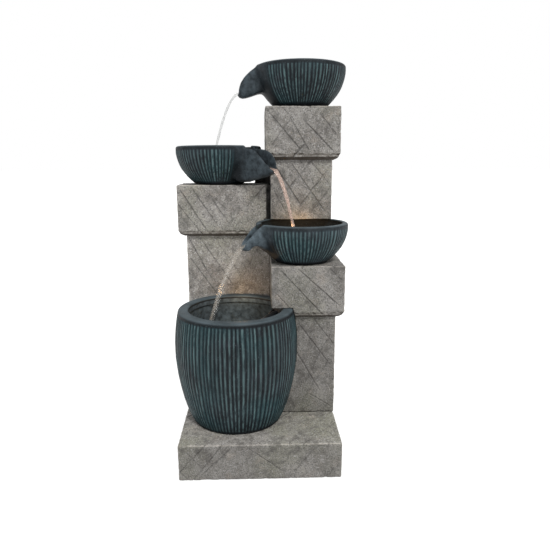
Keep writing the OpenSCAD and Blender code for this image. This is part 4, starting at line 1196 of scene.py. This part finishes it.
def pool(name, v, level, hit, wave=1.0):
    """Water surface in a vessel, with rings where a stream lands."""
    R = np.interp(level, v.tz, v.tr) - v.wall - 0.4
    nr, na = 44, 128
    rr = R * np.linspace(0, 1, nr + 1)[1:] ** 0.9
    a = np.linspace(0, 2 * np.pi, na, endpoint=False)
    pts = [np.array([v.c[0], v.c[1], v.c[2] + level])]
    for r in rr:
        x, y = v.c[0] + r * np.cos(a), v.c[1] + r * np.sin(a)
        pts.append(np.stack([x, y, np.full(na, v.c[2] + level)], axis=1))
    V = np.vstack([pts[0][None]] + pts[1:])
    z = 0.5 * vnoise(V / 26.0) * wave
    if hit is not None:
        d = np.hypot(V[:, 0] - hit[0], V[:, 1] - hit[1])
        z = z + wave * 2.0 * np.cos(d * 0.42) * np.exp(-d / 20.0)
    edge = np.hypot(V[:, 0] - v.c[0], V[:, 1] - v.c[1]) / R
    z = z * (1 - edge ** 6)
    V[:, 2] += z
    fs = [(0, 1 + k, 1 + (k + 1) % na) for k in range(na)]
    for i in range(nr - 1):
        b0, b1 = 1 + i * na, 1 + (i + 1) * na
        for k in range(na):
            fs.append((b0 + k, b1 + k, b1 + (k + 1) % na, b0 + (k + 1) % na))
    ob = make_mesh(name, V, fs)
    ob.data.materials.append(WATER)
    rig.ride(ob, "root")
    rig.slot(ob, "lamp_lens")
    return ob


def fall(name, v, target, drop_to, width0, width1, mat, steep=0.16):
    """A sheet of water: along the spout's channel, over the tip, then down to drop_to, narrowing."""
    ss = [stretched(s, v.k) for s in (62, 76, 90, 102, 114, 126, 135)]
    path = []
    for s in ss:
        z = max(np.interp(s, v.chan[:, 0], v.chan[:, 1]) + 2.2, 50.0 if s < 90 else 0)
        path.append([v.c[0] + v.ca * s, v.c[1] + v.sa * s, v.c[2] + z])
    tip = np.array(path[-1])
    vx, vy = target[0] - tip[0], target[1] - tip[1]
    H = tip[2] - drop_to
    for t in np.linspace(0.08, 1, 15):
        path.append([tip[0] + vx * t, tip[1] + vy * t, tip[2] - H * (steep * t + (1 - steep) * t * t)])
    path = smooth_path(path, 5)
    n = len(path)
    arc = np.concatenate([[0], np.cumsum(np.linalg.norm(np.diff(path, axis=0), axis=1))])
    i_tip = 6 * 5
    wid, thk = np.zeros(n), np.zeros(n)
    for i in range(n):
        if i <= i_tip:
            s = ss[0] + (ss[-1] - ss[0]) * i / i_tip
            wid[i] = np.interp(s, v.cplan[:, 0], v.cplan[:, 1]) - 1.6
            thk[i] = 1.9
        else:
            t = (arc[i] - arc[i_tip]) / (arc[-1] - arc[i_tip])
            w_tip = np.interp(ss[-1], v.cplan[:, 0], v.cplan[:, 1]) - 1.6
            w = w_tip + (width0 - w_tip) * min(1, t / 0.12)
            w = w + (width1 - width0) * sstep(0.05, 0.8, t)
            wid[i] = w * (1 + 0.10 * math.sin(t * 23) * t)
            thk[i] = 1.9 + 0.5 * t + 0.3 * math.sin(t * 31)
    side = np.array([-v.sa, v.ca, 0.0])
    rings = []
    K = 28
    tg = np.gradient(path, axis=0)
    tg /= np.linalg.norm(tg, axis=1)[:, None]
    for i in range(n):
        nrm = np.cross(side, tg[i])
        nrm /= np.linalg.norm(nrm)
        a = np.linspace(0, 2 * np.pi, K, endpoint=False)
        w = np.cos(a) * wid[i]
        frac = np.abs(w) / max(wid[i], 1e-6)
        rope = 1.0 + 0.55 * frac ** 3 if i > i_tip else np.ones(K)
        h = np.sin(a) * thk[i] * rope
        h = h + 0.5 * np.sin(w * 1.1 + i * 0.35) * (1 if i > i_tip else 0.3)
        rings.append(path[i] + np.outer(w, side) + np.outer(h, nrm))
    V = np.concatenate(rings)
    fs = []
    for i in range(n - 1):
        for k in range(K):
            fs.append((i * K + k, i * K + (k + 1) % K, (i + 1) * K + (k + 1) % K, (i + 1) * K + k)[::-1])
    fs.append(tuple(range(K)))
    fs.append(tuple((n - 1) * K + k for k in range(K - 1, -1, -1)))
    ob = make_mesh(name, V, fs)
    ob.data.materials.append(mat)
    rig.ride(ob, "root")
    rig.slot(ob, "lamp_lens")
    return ob


LEVEL, LOW_LEVEL = 50.0, 53.0
POT_LEVEL = 177.0
hit1, hit2, hit3 = (-103.0, 71.0), (74.0, -40.0), (-117.0, -98.0)
pool("water_in_top_bowl", top, LEVEL, (92.5, 87.0), 0.9)
pool("water_in_middle_bowl", mid, LEVEL, hit1, 0.9)
pool("water_in_lower_bowl", low, LOW_LEVEL, hit2, 0.9)
pool("water_in_pot", pot, POT_LEVEL, hit3, 1.2)
S1 = stream_material("stream_clear", (0.40, 0.41, 0.40), 0.30)
S4 = stream_material("stream_veil", (0.50, 0.47, 0.42), 0.13)
# painted light: the middle stream glows faintly warm, standing in for the warm lamp light on the falling water
S2 = stream_material("stream_warm", (0.52, 0.40, 0.35), 0.60, (1.0, 0.62, 0.42), 0.05)
S3 = stream_material("stream_soft", (0.46, 0.42, 0.37), 0.36)
fall("stream_top", top, hit1, MID_C[2] + LEVEL, 8.6, 4.6, S1)
fall("stream_middle", mid, hit2, LOW_C[2] + LOW_LEVEL, 6.0, 3.4, S2, 0.3)
fall("stream_lower", low, hit3, POT_C[2] + POT_LEVEL, 9.5, 3.0, S3, 0.45)
fall("veil_lower", low, (hit3[0] + 5, hit3[1] + 4), POT_C[2] + POT_LEVEL, 13.0, 6.5, S4, 0.45)

# ---------------------------------------------------------------------------
# stage, light
# ---------------------------------------------------------------------------
me = bpy.data.meshes.new("floor")
me.from_pydata([(-40, -40, 0), (40, -40, 0), (40, 40, 0), (-40, 40, 0)], [], [(0, 1, 2, 3)])
floor = bpy.data.objects.new("floor", me)
scene.collection.objects.link(floor)
F = Mat("floor_paper")
F.set(Base_Color=(0.36, 0.36, 0.36), Roughness=0.9)
F.b.inputs["Specular IOR Level"].default_value = 0.0
F.b.inputs["Emission Color"].default_value = (1, 1, 1, 1)
F.b.inputs["Emission Strength"].default_value = 0.78
me.materials.append(F.m)
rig.stage(floor)

world = bpy.data.worlds.new("studio")
scene.world = world
world.use_nodes = True
bg = world.node_tree.nodes["Background"]
bg.inputs["Color"].default_value = (1.0, 1.0, 1.0, 1)
bg.inputs["Strength"].default_value = 1.0


def area(name, loc, target, size, energy, color=(1, 1, 1)):
    d = bpy.data.lights.new(name, "AREA")
    d.shape = "RECTANGLE"
    d.size, d.size_y = size
    d.energy = energy
    d.color = color
    o = bpy.data.objects.new(name, d)
    scene.collection.objects.link(o)
    o.location = loc
    o.rotation_euler = (Vector(target) - Vector(loc)).to_track_quat("-Z", "Y").to_euler()
    return o


def point(name, loc, energy, color, r=0.012):
    d = bpy.data.lights.new(name, "POINT")
    d.energy = energy
    d.color = color
    d.shadow_soft_size = r
    o = bpy.data.objects.new(name, d)
    scene.collection.objects.link(o)
    o.location = loc
    return o


sun_d = bpy.data.lights.new("key", "SUN")
sun_d.energy = 2.6
sun_d.angle = math.radians(11)
sun_d.color = (1.0, 0.985, 0.955)
sun = bpy.data.objects.new("key", sun_d)
scene.collection.objects.link(sun)
sun.rotation_euler = Vector((-0.34, 1.0, -1.10)).to_track_quat("-Z", "Y").to_euler()
WARM = (1.0, 0.66, 0.36)
point("bowl_glow", (0.0892, 0.012, 0.484), 0.085, WARM)
point("pot_glow", (-0.045, 0.006, 0.326), 0.085, WARM)

scene.view_settings.view_transform = "Standard"
scene.view_settings.look = "None"
scene.view_settings.exposure = 0.0
scene.view_settings.gamma = 1.0

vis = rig.bounds()
try:
    with open("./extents.json", "w") as fh:
        json.dump({"cad": [list(map(float, CAD_BOX[0])), list(map(float, CAD_BOX[1]))],
                   "visual": [list(map(float, vis[0])), list(map(float, vis[1]))]}, fh)
except OSError:
    pass
